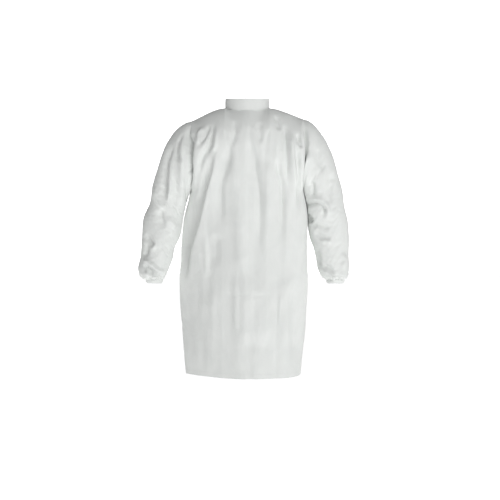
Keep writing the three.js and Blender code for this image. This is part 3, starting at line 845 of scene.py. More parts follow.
@dataclass
class BodyShape:
    """The plain shape of the coat's body, before its folds.

    Attributes:
        shoulder_half: Centre line to armhole seam.
        underarm: Height of the underarm point.
        armhole_half: Half the armhole, front to back.
        rounding: Height over which the shoulder turns into the chest.
        length: Side neck point to hem.
        chest_depth: Half the chest, front to back.
        hem_depth: Half the hem, front to back.
        neck_half: Half the neck opening, side to side.
        neck_depth: Half the neck opening, front to back.
        neck_front_drop: How far the neckline falls at the front.
        neck_back_drop: How far it falls at the back.
        squareness: The exponent of the rounded-oblong section.
        left_roundness: The exponent with which the left half of the back falls away to its side.
        left_fall: Depths below the neck between which that exponent takes over.
        armhole_ease: How fast the armhole's shape softens away from its edge.
        neck_ease: How fast the neckline's shape softens below it.
        lap_half: How far each front runs past the centre line.
        lap_rise: How far the left front lies outside the right one.
        lap_fade: Places across between which the left front comes back level.
        armhole_rows: Rows of cloth from the shoulder to the underarm.
        row_crowding: The exponent by which those rows crowd towards the shoulder.
        skirt_rows: Rows from the underarm to the hem.
        half_columns: Columns from the centre line to the side.
        neck_columns: Those of them that end at the neckline.
        neck_share: The share of the way down over which columns crowd at the neck.
        seam_reach: Rows or columns over which a closed seam pulls at the cloth beside it.
        seam_fade: Rows above the underarm over which the side seam's pull runs out.
        shoulders: The heights of the left and the right shoulder line, by distance out.
        widths: Half the width at heights, on the left and on the right.
        lean: How far the worn coat leans by height, below zero towards the right.
    """

    shoulder_half: float = 206
    underarm: float = -306
    armhole_half: float = 74
    rounding: float = 150
    length: float = 988
    chest_depth: float = 116
    hem_depth: float = 126
    neck_half: float = 82
    neck_depth: float = 70
    neck_front_drop: float = 52
    neck_back_drop: float = 17
    squareness: float = 2.4
    left_roundness: float = 1.5
    left_fall: tuple[float, float] = (180, 520)
    armhole_ease: float = 5
    neck_ease: float = 2.5
    lap_half: float = 15
    lap_rise: float = 5
    lap_fade: tuple[float, float] = (18, 52)
    armhole_rows: int = 40
    row_crowding: float = 1.25
    skirt_rows: int = 88
    half_columns: int = 38
    neck_columns: int = 12
    neck_share: float = 0.16
    seam_reach: int = 7
    seam_fade: int = 16
    shoulders: tuple[tuple[tuple[float, float], ...], ...] = (
        ((82, 1), (100, -1), (136, -13), (166, -27), (206, -46)),
        ((82, 1), (99, -1), (142, -14), (176, -26), (206, -38)))
    widths: tuple[tuple[tuple[float, float], ...], ...] = (
        ((60, 206), (0, 207), (-60, 207), (-130, 213), (-306, 214), (-345, 221), (-390, 231),
         (-456, 236), (-520, 236), (-630, 243), (-720, 241), (-810, 234), (-900, 229),
         (-1010, 222)),
        ((60, 206), (0, 207), (-60, 207), (-130, 213), (-306, 214), (-345, 222), (-390, 232),
         (-456, 236), (-520, 236), (-630, 240), (-720, 237), (-810, 230), (-900, 220),
         (-1010, 209)))
    lean: tuple[tuple[float, float], ...] = (
        (60, -9), (-60, -8.5), (-200, -8), (-306, -5), (-430, 0), (-1010, 0))

    def downs(self) -> np.ndarray:
        """Each row's share of the way from the upper edge to the hem."""
        top = self.shoulders[0][-1][1]
        share = (top - self.underarm) / (self.length + top)
        upper = share * np.linspace(0, 1, self.armhole_rows + 1) ** self.row_crowding
        lower = share + (1 - share) * np.linspace(0, 1, self.skirt_rows + 1)[1:]
        return np.concatenate([upper, lower])

    def shares(self, down: np.ndarray) -> np.ndarray:
        """Each point's share of the half width, crowded at the neck and even below.

        Args:
            down: Each row's share of the way to the hem.

        Returns:
            Rows by columns, from the centre line to the side.
        """
        angle = np.linspace(0, math.pi / 2, 400)
        power = 2 / self.squareness
        share, depth = np.sin(angle) ** power, np.cos(angle) ** power
        step = np.hypot(np.diff(share * self.shoulder_half), np.diff(depth * self.chest_depth))
        along = np.concatenate([[0], np.cumsum(step)])
        even = np.interp(np.linspace(0, along[-1], self.half_columns + 1), along, share)
        neck = self.neck_half / self.shoulder_half
        turn = np.linspace(0, math.pi / 2, self.neck_columns + 1)
        beyond = np.linspace(neck, 1, self.half_columns - self.neck_columns + 1)[1:]
        crowded = np.concatenate([neck * np.sin(turn), beyond])
        t = smoothstep(down, 0, self.neck_share)[:, None]
        return crowded * (1 - t) + even * t

    def _by_hand(self, knots: Sequence[Sequence[tuple[float, float]]], at: np.ndarray,
                 share: np.ndarray) -> np.ndarray:
        """A profile of the left side where the share is positive, or else of the right side."""
        return np.where(share >= 0, profile(knots[0], at), profile(knots[1], at))

    def upper_edge(self, share: np.ndarray, back: bool) -> tuple[np.ndarray, np.ndarray]:
        """The upper edge of the back or a front.

        Args:
            share: Places across, as shares of the shoulder's half width.
            back: Whether it is the back.

        Returns:
            How far it is from the middle, front to back, and its height.
        """
        x = np.abs(share) * self.shoulder_half
        c = np.sqrt(np.clip(1 - (x / self.neck_half) ** 2, 0, None))
        drop = self.neck_back_drop if back else self.neck_front_drop
        shoulder = self._by_hand(self.shoulders, np.maximum(x, self.neck_half), share)
        return self.neck_depth * c, shoulder * (1 - c * c) - drop * c * c

    def surface(self, share: np.ndarray, down: np.ndarray, back: bool) -> np.ndarray:
        """Points of the body.

        Args:
            share: Each point's share of the half width, negative on the right.
            down: Each row's share of the way to the hem.
            back: Whether it is the back.

        Returns:
            Rows by columns by 3.
        """
        power = self.squareness
        depth_share = np.clip(1 - np.abs(share) ** power, 0, None) ** (1 / power)
        top_half, top = self.upper_edge(share, back)
        z = top + (-self.length - top) * down[:, None]
        if back:
            falling = 1 - np.clip(share, 0, None) ** self.left_roundness
            t = smoothstep(-z, *self.left_fall) * (share > 0)
            depth_share = depth_share * (1 - t) + falling * t
        fall = np.clip((top - z) / self.rounding, 0, 1)
        within = np.clip(1 - (share * self.shoulder_half / self.neck_half) ** 2, 0, None)
        under_neck = self.neck_depth * within ** (0.5 + self.neck_ease * np.sqrt(fall))
        rounding = (1 - (1 - fall) ** 2) ** (0.5 + 0.5 * under_neck / self.neck_depth)
        depth = self.chest_depth + (self.hem_depth - self.chest_depth) * smoothstep(
            -z, -self.underarm, self.length)
        middle = under_neck + (depth - under_neck) * rounding
        shoulder_point = np.where(share >= 0, self.shoulders[0][-1][1], self.shoulders[1][-1][1])
        k = 2 * (z - self.underarm) / (shoulder_point - self.underarm) - 1
        softness = 0.5 + self.armhole_ease * (1 - np.abs(share))
        armhole = self.armhole_half * np.clip(1 - k * k, 0, None) ** softness
        half = armhole * (1 - depth_share) + middle * depth_share
        y = half if back else -half
        lean = profile(self.lean, z) * smoothstep(y, -80, -5)
        return np.stack([share * self._by_hand(self.widths, z, share) + lean, y, z], axis=2)

    def sheets(self) -> dict[str, ClothGrid]:
        """The back and the two fronts, before their folds.

        Returns:
            The sheets by name.
        """
        down = self.downs()
        share = self.shares(down)
        lap = np.tile(np.array([-1, -0.5]) * self.lap_half / self.shoulder_half, (len(down), 1))
        back = np.concatenate([-share[:, :0:-1], share], axis=1)
        front = np.concatenate([lap, share], axis=1)
        left = self.surface(front, down, False)
        left[..., 1] -= self.lap_rise * (1 - smoothstep(left[..., 0], *self.lap_fade))
        return {
            "back": ClothGrid(self.surface(back, down, True)),
            "left_front": ClothGrid(left, flip=True),
            "right_front": ClothGrid(self.surface(-front[:, ::-1], down, False), flip=True),
        }

    def armhole(self, sheets: dict[str, ClothGrid], hand: Hand) -> np.ndarray:
        """The armhole's edge, from the shoulder down the back and up the front.

        Args:
            sheets: The body's sheets.
            hand: The side.

        Returns:
            One point for each column of the sleeve.
        """
        column = -1 if hand is Hand.LEFT else 0
        n = self.armhole_rows
        back = sheets["back"].points[: n + 1, column]
        front = sheets[f"{hand.word}_front"].points[1:n, column]
        return np.concatenate([back, front[::-1]])

    def join(self, sheets: dict[str, ClothGrid]) -> None:
        """Brings the back and the fronts together at the shoulder and side seams.

        Args:
            sheets: The body's sheets, which are changed.
        """
        back, n, reach = sheets["back"].points, self.half_columns, self.seam_reach
        for hand in Hand:
            front = sheets[f"{hand.word}_front"].points
            step = hand.value
            edge_b, edge_f = (2 * n, 2 + n) if hand is Hand.LEFT else (0, 0)
            for k in range(self.neck_columns, n + 1):
                b, f = n + step * k, (2 + k if hand is Hand.LEFT else n - k)
                gap = (front[0, f] - back[0, b]) / 2
                for r in range(reach):
                    back[r, b] += gap * (1 - r / reach) ** 2
                    front[r, f] -= gap * (1 - r / reach) ** 2
            top = self.armhole_rows
            gap = (front[:, edge_f] - back[:, edge_b]) / 2
            fade = np.clip(1 - (top - np.arange(len(gap))) / self.seam_fade, 0, 1) ** 2
            gap[:top] = gap[top] * fade[:top, None]
            for c in range(reach):
                back[:, edge_b - step * c] += gap * (1 - c / reach) ** 2
                front[:, edge_f - step * c] -= gap * (1 - c / reach) ** 2
            rows = slice(top, None)
            front[rows, edge_f] = back[rows, edge_b]
            for k in range(self.neck_columns, n + 1):
                f = 2 + k if hand is Hand.LEFT else n - k
                front[0, f] = back[0, n + step * k]


@dataclass
class SleeveShape:
    """The plain shape of a worn sleeve, as rings that each join an outer and an inner line.

    Attributes:
        hand: The wearer's side.
        lines: Outer and inner points, X and Z of each, from the armhole to the cuff.
        depths: Half the sleeve, front to back, by share of its length.
        rows: Rings of cloth.
        relaxed: The share of its length over which its columns spread evenly.
        sewn: The share of its length over which it leaves the armhole's edge.
    """

    hand: Hand
    lines: tuple[tuple[float, float, float, float], ...]
    depths: tuple[tuple[float, float], ...] = (
        (0, 74), (0.15, 76), (0.35, 70), (0.55, 62), (0.75, 58), (0.88, 56), (0.95, 48), (1, 35))
    rows: int = 84
    relaxed: float = 0.14
    sewn: float = 0.16

    def sheet(self, armhole: np.ndarray) -> ClothGrid:
        """The sleeve's cloth, sewn to the armhole.

        Args:
            armhole: The armhole's edge.

        Returns:
            The tube of cloth.
        """
        v = np.linspace(0, 1, self.rows + 1)
        line = smooth_curve(self.lines, v)
        count = len(armhole)
        low, high = armhole[:, 2].min(), armhole[:, 2].max()
        k = np.clip((armhole[:, 2] - low) / (high - low) * 2 - 1, -1, 1)
        sewn = np.arccos(k)
        sewn[count // 2 + 1:] = 2 * math.pi - sewn[count // 2 + 1:]
        even = np.arange(count) * 2 * math.pi / count
        relax = smoothstep(v, 0, self.relaxed)[:, None]
        angle = sewn * (1 - relax) + even * relax
        centre, half = (line[:, :2] + line[:, 2:]) / 2, (line[:, :2] - line[:, 2:]) / 2
        x = centre[:, :1] + half[:, :1] * np.cos(angle)
        z = centre[:, 1:] + half[:, 1:] * np.cos(angle)
        y = profile(self.depths, v)[:, None] * np.sin(angle)
        points = np.stack([x, y, z], axis=2)
        keep = 1 - smoothstep(v, 0, self.sewn)
        points += (armhole - points[0]) * keep[:, None, None]
        return ClothGrid(points, is_tube=True, flip=self.hand is Hand.LEFT)


LEFT_SLEEVE = SleeveShape(Hand.LEFT, (
    (198, -46, 201, -306), (248, -76, 208, -322), (294, -130, 216, -342), (324, -206, 223, -366),
    (349, -288, 229, -396), (360, -354, 234, -432), (383, -414, 243, -478), (388, -488, 262, -522),
    (391, -552, 271, -562), (401, -598, 286, -602), (391, -630, 300, -630), (372, -641, 309, -642)))
RIGHT_SLEEVE = SleeveShape(Hand.RIGHT, (
    (-214, -38, -211, -306), (-260, -69, -215, -322), (-305, -121, -221, -342),
    (-339, -202, -227, -366), (-362, -290, -231, -396), (-372, -362, -236, -432),
    (-384, -420, -243, -478), (-391, -492, -257, -522), (-391, -554, -267, -564),
    (-392, -602, -274, -604), (-386, -630, -290, -632), (-374, -642, -307, -642)))


@dataclass(frozen=True)
class ClothFeel:
    """How the cloth behaves while it hangs.

    Attributes:
        quality: Steps of the simulation in each frame.
        mass: Of each point, in kilograms.
        damping: How fast the air slows it.
        stretch: Its stiffness against stretching and pressing together.
        shear: Its stiffness against shearing.
        bend: Its stiffness against bending.
        pin: How firmly held points keep their places.
        gravity: The share of gravity that acts on it.
    """

    quality: int = 5
    mass: float = 0.12
    damping: float = 4
    stretch: float = 12
    shear: float = 4
    bend: float = 1.2
    pin: float = 1.2
    gravity: float = 0.3

    def give(self, settings: bpy.types.ClothSettings) -> None:
        """Sets a cloth modifier's settings."""
        settings.quality, settings.mass = self.quality, self.mass
        settings.air_damping = self.damping
        settings.tension_stiffness = settings.compression_stiffness = self.stretch
        settings.shear_stiffness, settings.bending_stiffness = self.shear, self.bend
        settings.pin_stiffness = self.pin
        settings.effector_weights.gravity = self.gravity


@dataclass
class Shell:
    """The coat's cloth as it hangs: the body and sleeves with their folds.

    Attributes:
        body: The body's plain shape.
        sleeves: The sleeves' plain shapes.
        gathers: Pleats around each wrist.
        spare: The cloth's spare width, by which it is let out before it hangs.
        frames: Frames of the cloth simulation.
        feel: How the cloth behaves in it.
        front_hold: Distances from the centre line between which the fronts' hold runs out.
        side_gap: The least gap between a sleeve and the side of the coat.
        side_foot: The height below which a sleeve is left as it is.
        side_columns: Columns on each side of the side seam that a sleeve may meet.
        groove_depth: How deep the body's cloth lies sunk along an armhole seam.
        groove_columns: Columns over which it comes back.
        groove_reach: Columns that it touches at all.
        groove_puff: How far the sleeve stands out beside the seam.
        grids: The sheets by name, once they are shaped.
    """

    body: BodyShape = field(default_factory=BodyShape)
    sleeves: tuple[SleeveShape, SleeveShape] = (LEFT_SLEEVE, RIGHT_SLEEVE)
    gathers: int = 21
    spare: float = 0.007
    frames: int = 22
    feel: ClothFeel = ClothFeel()
    front_hold: tuple[float, float] = (16, 60)
    side_gap: float = 3
    side_foot: float = -560
    side_columns: int = 34
    groove_depth: float = 11
    groove_columns: float = 2
    groove_reach: int = 8
    groove_puff: float = 5
    grids: dict[str, ClothGrid] = field(default_factory=dict)

    def shape(self) -> None:
        """Shapes every sheet of cloth."""
        self.grids = self.body.sheets()
        self._unsettle_body()
        self.body.join(self.grids)
        for sleeve in self.sleeves:
            armhole = self.body.armhole(self.grids, sleeve.hand)
            self.grids[f"{sleeve.hand.word}_sleeve"] = self._unsettle_sleeve(sleeve.sheet(armhole))
        self._drape()
        self._fold()
        for name, grid in self.grids.items():
            self.grids[name] = grid.finer(2)
        self._crumple()
        for hand in Hand:
            self._clear_side(hand)

    def _unsettle_body(self) -> None:
        """Makes the back and the fronts slightly uneven, so that they hang in folds."""
        uneven = SoftNoise(SEED)
        for name in ("back", "left_front", "right_front"):
            p = self.grids[name].points
            drop = smoothstep(-p[..., 2], 20, 220)
            rise = 2.6 * drop * uneven(p[..., 0] / 42 + 7, p[..., 2] / 420 + 3)
            rise += 1.2 * drop * uneven(p[..., 0] / 19 + 2, p[..., 2] / 240 + 9)
            if name != "back":
                rise *= smoothstep(np.abs(p[..., 0]), *self.front_hold)
            self.grids[name] = self.grids[name].offset(rise)

    def _unsettle_sleeve(self, grid: ClothGrid) -> ClothGrid:
        """Makes a sleeve slightly uneven, except at the armhole and the cuff.

        Args:
            grid: The plain sleeve.

        Returns:
            The uneven sleeve.
        """
        p = grid.points
        v = np.linspace(0, 1, p.shape[0])[:, None]
        uneven = SoftNoise(SEED + 1)
        rise = 2.6 * uneven(p[..., 0] / 44 + p[..., 1] / 60, p[..., 2] / 110 + p[..., 1] / 80)
        return grid.offset(rise * smoothstep(v, 0, 0.1) * smoothstep(1 - v, 0, 0.06))

    def _fold(self) -> None:
        """Lays the large folds into the hanging cloth, and closes the seams again."""
        for name in ("back", "left_front", "right_front"):
            grid = self.grids[name]
            z = grid.points[..., 2]
            if name == "back":
                rise = fold_rise(grid.points, Cloth.BACK) * smoothstep(-z, -4, 26)
            else:
                rise = fold_rise(grid.points, Cloth.FRONT)
                rise = rise * smoothstep(np.abs(grid.points[..., 0]), *self.front_hold)
            self.grids[name] = grid.offset(rise)
            self._groove(self.grids[name].points, name)
        self.body.join(self.grids)
        for hand in Hand:
            name = f"{hand.word}_sleeve"
            grid = self.grids[name]
            count = grid.points.shape[1]
            back = np.sin(np.arange(count) * 2 * math.pi / count)
            v = np.linspace(0, 1, grid.points.shape[0])[:, None]
            rise = (fold_rise(grid.points, Cloth.SLEEVE_BACK) * smoothstep(back, 0, 0.4)
                    + fold_rise(grid.points, Cloth.SLEEVE_FRONT) * smoothstep(-back, 0, 0.4))
            rise = rise * smoothstep(v, 0, 0.05) * smoothstep(1 - v, 0, 0.06)
            rise += self.groove_puff * smoothstep(v, 0, 0.04) * (1 - smoothstep(v, 0.05, 0.16))
            grid = grid.offset(rise)
            keep = 1 - smoothstep(v, 0, 0.06)
            sewn = self.body.armhole(self.grids, hand) - grid.points[0]
            grid.points += sewn * keep[..., None]
            self.grids[name] = grid

    def _groove(self, p: np.ndarray, name: str) -> None:
        """Sinks the edges of a body sheet along the armhole seams.

        Args:
            p: The sheet's points, which are changed.
            name: The sheet's name.
        """
        outward = 1 if name == "back" else -1
        z = p[..., 2]
        along = smoothstep(-z, 60, 120) * (1 - smoothstep(-z, 250, 306))
        for edge, inwards in ((0, 1), (-1, -1)):
            if name == ("left_front" if edge == 0 else "right_front"):
                continue
            for k in range(self.groove_reach):
                column = edge + inwards * k
                dip = self.groove_depth * math.exp(-((k / self.groove_columns) ** 2))
                p[:, column, 1] -= outward * dip * along[:, column]

    def _drape(self) -> None:
        """Lets the sewn coat hang as cloth, held at the neck, the front edges and the wrists."""
        stacked = np.concatenate([g.points.reshape(-1, 3) for g in self.grids.values()])
        _, first, where = np.unique(np.round(stacked, 2) + 0.0, axis=0, return_index=True,
                                    return_inverse=True)
        where = where.ravel()
        faces, hold, start = [], [], 0
        for name, grid in self.grids.items():
            rows, columns = grid.points.shape[:2]
            index = where[start: start + rows * columns].reshape(rows, columns)
            start += rows * columns
            if grid.is_tube:
                index = np.concatenate([index, index[:, :1]], axis=1)
            corners = (index[:-1, :-1], index[:-1, 1:], index[1:, 1:], index[1:, :-1])
            quads = np.stack(corners, axis=-1)
            faces.append(quads.reshape(-1, 4))
            hold.append(self._hold(name, grid).ravel())
        held = np.zeros(len(first))
        np.maximum.at(held, where, np.concatenate(hold))
        obj = mesh_object("hanging_cloth", stacked[first], np.concatenate(faces),
                          bpy.data.materials.new("hanging_cloth"))
        group = obj.vertex_groups.new(name="held")
        for level in np.unique(np.round(held, 2)):
            members = np.flatnonzero(np.round(held, 2) == level).tolist()
            group.add(members, float(level), "REPLACE")
        cloth = obj.modifiers.new("cloth", "CLOTH")
        self.feel.give(cloth.settings)
        cloth.settings.vertex_group_mass = group.name
        cloth.settings.shrink_min = -self.spare
        cloth.point_cache.frame_start, cloth.point_cache.frame_end = 1, self.frames
        scene = bpy.context.scene
        for number in range(1, self.frames + 1):
            scene.frame_set(number)
        hung = obj.evaluated_get(bpy.context.evaluated_depsgraph_get()).data
        moved = np.empty(len(first) * 3)
        hung.vertices.foreach_get("co", moved)
        moved = moved.reshape(-1, 3) / MM
        shift = np.linalg.norm(moved - stacked[first], axis=1).max()
        log.info("hung cloth moved %.1f mm at most", shift)
        bpy.data.objects.remove(obj)
        scene.frame_set(1)
        start = 0
        for grid in self.grids.values():
            size = grid.points.shape[0] * grid.points.shape[1]
            grid.points = moved[where[start: start + size]].reshape(grid.points.shape)
            start += size

    def _hold(self, name: str, grid: ClothGrid) -> np.ndarray:
        """How firmly each point keeps its place, from 0 to 1.

        Args:
            name: The sheet's name.
            grid: The sheet.

        Returns:
            Rows by columns.
        """
        p = grid.points
        x, z = np.abs(p[..., 0]), p[..., 2]
        if grid.is_tube:
            v = np.linspace(0, 1, p.shape[0])[:, None]
            outer = np.clip(np.cos(np.arange(p.shape[1]) * 2 * math.pi / p.shape[1]), 0, 1) ** 2
            return np.clip(0.22 + 0.6 * outer * (1 - 0.7 * v) + smoothstep(v, 0.9, 0.98), 0, 1)
        held = 0.13 + 0.87 * (1 - smoothstep(-z, 30, 120))
        if name != "back":
            held = np.maximum(held, 1 - smoothstep(x, 22, 70))
        return np.clip(held, 0, 1)

    def _crumple(self) -> None:
        """Adds small creases, and the gathers at the wrists."""
        small, tiny = SoftNoise(SEED + 2), SoftNoise(SEED + 3)
        for name, grid in self.grids.items():
            p = grid.points
            a = p[..., 0] + 0.6 * p[..., 1]
            rise = 0.8 * small(a / 31 + p[..., 2] / 90, p[..., 2] / 52 + p[..., 1] / 40)
            rise += 0.35 * tiny(a / 12 + 4, p[..., 2] / 21 + p[..., 1] / 15)
            if grid.is_tube:
                rows, count = p.shape[:2]
                v = np.linspace(0, 1, rows)[:, None]
                turn = np.arange(count) / count
                wobble = small(turn * 16 + 3, turn * 0) * 1.3
                pleat = np.cos(2 * math.pi * self.gathers * turn + wobble)
                long_pleat = np.cos(2 * math.pi * self.gathers / 3 * turn + 2 * wobble)
                rise *= smoothstep(v, 0, 0.05)
                rise = rise + 2.4 * smoothstep(v, 0.9, 0.985) * pleat
                rise += 2.6 * smoothstep(v, 0.78, 0.92) * (1 - smoothstep(v, 0.95, 1)) * long_pleat
            elif name == "back":
                rise *= smoothstep(-p[..., 2], 0, 40)
            else:
                rise *= smoothstep(np.abs(p[..., 0]), 16, 50) * smoothstep(-p[..., 2], 0, 60)
            self.grids[name] = grid.offset(rise)
        for hand in Hand:
            self._sew_armhole(hand)

    def _sew_armhole(self, hand: Hand) -> None:
        """Brings a sleeve's first ring back onto the edge of the fine armhole."""
        sleeve = self.grids[f"{hand.word}_sleeve"]
        column, n = (-1 if hand is Hand.LEFT else 0), 2 * self.body.armhole_rows
        back = self.grids["back"].points[: n + 1, column]
        front = self.grids[f"{hand.word}_front"].points[1:n, column]
        edge = np.concatenate([back, front[::-1]])
        keep = (1 - np.arange(6) / 6) ** 2
        sleeve.points[:6] += (edge - sleeve.points[0]) * keep[:, None, None]

    def _clear_side(self, hand: Hand) -> None:
        """Pushes a sleeve out of the side of the coat, where the two touch.

        Args:
            hand: The side.
        """
        sleeve = self.grids[f"{hand.word}_sleeve"].points
        n, deep = 2 * self.body.armhole_rows, self.side_columns
        back, front = self.grids["back"].points, self.grids[f"{hand.word}_front"].points
        if hand is Hand.LEFT:
            around = np.concatenate([front[:, -deep:], back[:, :-deep - 1:-1]], axis=1)
        else:
            around = np.concatenate([front[:, deep - 1::-1], back[:, :deep]], axis=1)
        heights = around[:, deep, 2]
        for i in range(1, sleeve.shape[0]):
            for j in range(sleeve.shape[1]):
                x, y, z = sleeve[i, j]
                if z > heights[n] + 4 or z < self.side_foot:
                    continue
                row = np.searchsorted(-heights, -z)
                side = around[min(row, len(heights) - 1)]
                if side[0, 1] < y < side[-1, 1]:
                    limit = np.interp(y, side[:, 1], side[:, 0] * hand.value) + self.side_gap
                    sleeve[i, j, 0] = hand.value * max(x * hand.value, limit)


# ---- Small shapes -------------------------------------------------------------------------


@dataclass(frozen=True)
class Stitch:
    """One kind of sewn stitch, laid in rows.

    Attributes:
        pitch: From one stitch to the next.
        length: Of a stitch.
        radius: Of the thread.
        sides: Around the thread.
        rings: Places along a stitch, and the thread's size at each.
        slant: The direction from which each stitch's sides are counted.
    """

    pitch: float = 4.4
    length: float = 3.1
    radius: float = 0.32
    sides: int = 5
    rings: tuple[tuple[float, float], ...] = ((0, 0.35), (0.18, 1), (0.82, 1), (1, 0.35))
    slant: tuple[float, float, float] = (0.31, 0.52, 0.79)

    def row(self, path: np.ndarray) -> tuple[np.ndarray, list[list[int]]]:
        """A row of stitches along a path.

        Args:
            path: Points in millimetres.

        Returns:
            The points, and the faces as point numbers.
        """
        step = np.linalg.norm(np.diff(path, axis=0), axis=1)
        along = np.concatenate([[0], np.cumsum(step)])
        starts = np.arange(self.pitch / 2, along[-1] - self.length, self.pitch)
        a, b = (np.stack([np.interp(at, along, path[:, k]) for k in range(3)], axis=1)
                for at in (starts, starts + self.length))
        d = b - a
        d /= np.linalg.norm(d, axis=1, keepdims=True)
        u = np.cross(d, self.slant)
        u /= np.linalg.norm(u, axis=1, keepdims=True)
        w = np.cross(d, u)
        rings = []
        for place, size in self.rings:
            middle = a + (b - a) * place
            rings.append(np.stack([
                middle + self.radius * size * (math.cos(t) * u + math.sin(t) * w)
                for t in np.arange(self.sides) * 2 * math.pi / self.sides], axis=1))
        points = np.stack(rings, axis=1).reshape(-1, 3)
        n, last = self.sides, self.sides * (len(self.rings) - 1)
        walls = np.array([[r + k, r + (k + 1) % n, r + n + (k + 1) % n, r + n + k]
                          for r in range(0, last, n) for k in range(n)])
        base = np.arange(len(starts)) * (last + n)
        faces = (walls[None] + base[:, None, None]).reshape(-1, 4).tolist()
        for at in base.tolist():
            faces.append([at + k for k in reversed(range(n))])
            faces.append([at + last + k for k in range(n)])
        return points, faces


def stitches(name: str, paths: Sequence[np.ndarray],
             finish: bpy.types.Material) -> bpy.types.Object:
    """Makes one piece of several rows of stitches.

    Args:
        name: The piece's name.
        paths: The rows' paths in millimetres.
        finish: The thread.

    Returns:
        The object.
    """
    points, faces, start = [], [], 0
    for path in paths:
        row, row_faces = Stitch().row(path)
        points.append(row)
        faces.extend([start + k for k in face] for face in row_faces)
        start += len(row)
    return mesh_object(name, np.concatenate(points), faces, finish)


# ---- Sub-assemblies -----------------------------------------------------------------------


@dataclass
class Bends:
    """Where the cloth bends when a front opens or a sleeve is raised.

    Attributes:
        front_way: The direction across a front's bend, on the left.
        front_origin: The point beside the neck that a front's bend is measured from.
        front_from: Where a front's bend starts, along that direction.
        front_to: Where it ends.
        sleeve_way: The direction along a sleeve, on the left.
        sleeve_from: Where a sleeve's bend starts, from the origin.
        sleeve_to: Where it ends.
    """

    front_way: tuple[float, float, float] = (-0.8, -0.6, -0.114)
    front_origin: tuple[float, float, float] = (85, -5, 0)
    front_from: float = 18
    front_to: float = 92
    sleeve_way: tuple[float, float, float] = (0.867, 0, -0.498)
    sleeve_from: float = 331
    sleeve_to: float = 500

    def front(self, obj: bpy.types.Object, hand: Hand) -> bpy.types.Object:
        """Bakes the placement of a piece on a front into its mesh."""
        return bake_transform(obj)

    def sleeve(self, obj: bpy.types.Object, hand: Hand) -> bpy.types.Object:
        """Bakes the placement of a piece on a sleeve into its mesh."""
        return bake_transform(obj)

    @staticmethod
    def _mirrored(values: tuple[float, float, float], hand: Hand) -> Vector:
        """The values on a hand's side."""
        return Vector((values[0] * hand.value, values[1], values[2]))


@dataclass
class Panels:
    """The back and the two fronts, with their facings, hems and stitching.

    Attributes:
        hem: Height of the turned-up hem.
        facing: Width of the doubled front edge.
        gap: Between one layer of cloth and the next.
        back_flat: The back's cut size, width and length, in metres.
        front_flat: A front's cut size in metres.
        back_area: The back's cut area in square metres.
        front_area: A front's cut area in square metres.
    """

    hem: float = 20
    facing: float = 27
    gap: float = 0.35
    back_flat: tuple[float, float] = (0.62, 1.08)
    front_flat: tuple[float, float] = (0.36, 1.06)
    back_area: float = 0.58
    front_area: float = 0.31

    def build(self, shell: Shell, bends: Bends, finishes: Finishes) -> None:
        """Makes every piece of the body.

        Args:
            shell: The hanging cloth.
            bends: Where the cloth bends.
            finishes: The materials.
        """
        back = shell.grids["back"]
        log.info("back cloth %.3f m2", back.area())
        panel = back.piece("back_cloth", CLOTH_THICKNESS, finishes.cloth)
        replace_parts(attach(panel, "body"), "back_panel")
        hem, rows = self._hem(back, "back_hem", finishes)
        thread = stitches("back_hem_stitching", rows, finishes.thread)
        for piece in (hem, thread):
            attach(piece, "body")
        for hand in Hand:
            self._front(shell.grids[f"{hand.word}_front"], hand, bends, finishes)

    def _hem(self, grid: ClothGrid, name: str,
             finishes: Finishes) -> tuple[bpy.types.Object, list[np.ndarray]]:
        """Makes the turned-up cloth inside a hem.

        Args:
            grid: The sheet.
            name: The piece's name.
            finishes: The materials.

        Returns:
            The piece, and the paths of the stitches that show outside.
        """
        rows, columns = grid.points.shape[:2]
        pitch = np.linalg.norm(grid.points[-1, columns // 2] - grid.points[-2, columns // 2])
        reach = self.hem / pitch
        lift = -(CLOTH_THICKNESS + self.gap)
        turned = grid.patch(np.linspace(rows - 1 - reach, rows - 1.05, 8),
                            np.linspace(0.4, columns - 1.4, columns), lift)
        line = grid.patch(np.array([rows - 1 - reach * 0.86]),
                          np.linspace(0.6, columns - 1.6, 4 * columns), THREAD_LIFT)
        return turned.piece(name, CLOTH_THICKNESS, finishes.cloth), [line.points[0]]

    def _front(self, grid: ClothGrid, hand: Hand, bends: Bends, finishes: Finishes) -> None:
        """Makes one front.

        Args:
            grid: Its sheet.
            hand: The side.
            bends: Where the cloth bends.
            finishes: The materials.
        """
        word = hand.word
        log.info("%s front cloth %.3f m2", word, grid.area())
        panel = grid.piece(f"{word}_front_cloth", CLOTH_THICKNESS, finishes.cloth)
        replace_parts(panel, f"{word}_front_side", f"{word}_front_fold", f"{word}_front_flap")
        hem, paths = self._hem(grid, f"{word}_front_hem", finishes)
        rows, columns = grid.points.shape[:2]
        edge, inwards = (0, 1) if hand is Hand.LEFT else (columns - 1, -1)
        middle = grid.points[rows // 2]
        reach = self.facing / np.linalg.norm(middle[edge] - middle[edge + inwards])
        across = edge + inwards * np.linspace(0.12, reach, 9)
        down = np.linspace(1.5, rows - 1 - self.hem / 8, rows)
        strip = grid.patch(down, np.sort(across), -(CLOTH_THICKNESS + self.gap))
        facing = strip.piece(f"{word}_front_facing_strip", CLOTH_THICKNESS, finishes.band)
        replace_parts(facing, f"{word}_front_facing")
        line = grid.patch(np.linspace(2, rows - 3, 4 * rows),
                          np.array([edge + inwards * reach * 0.9]), THREAD_LIFT)
        thread = stitches(f"{word}_front_stitching", [*paths, line.points[:, 0]], finishes.thread)
        for piece in (panel, hem, facing, thread):
            bends.front(piece, hand)


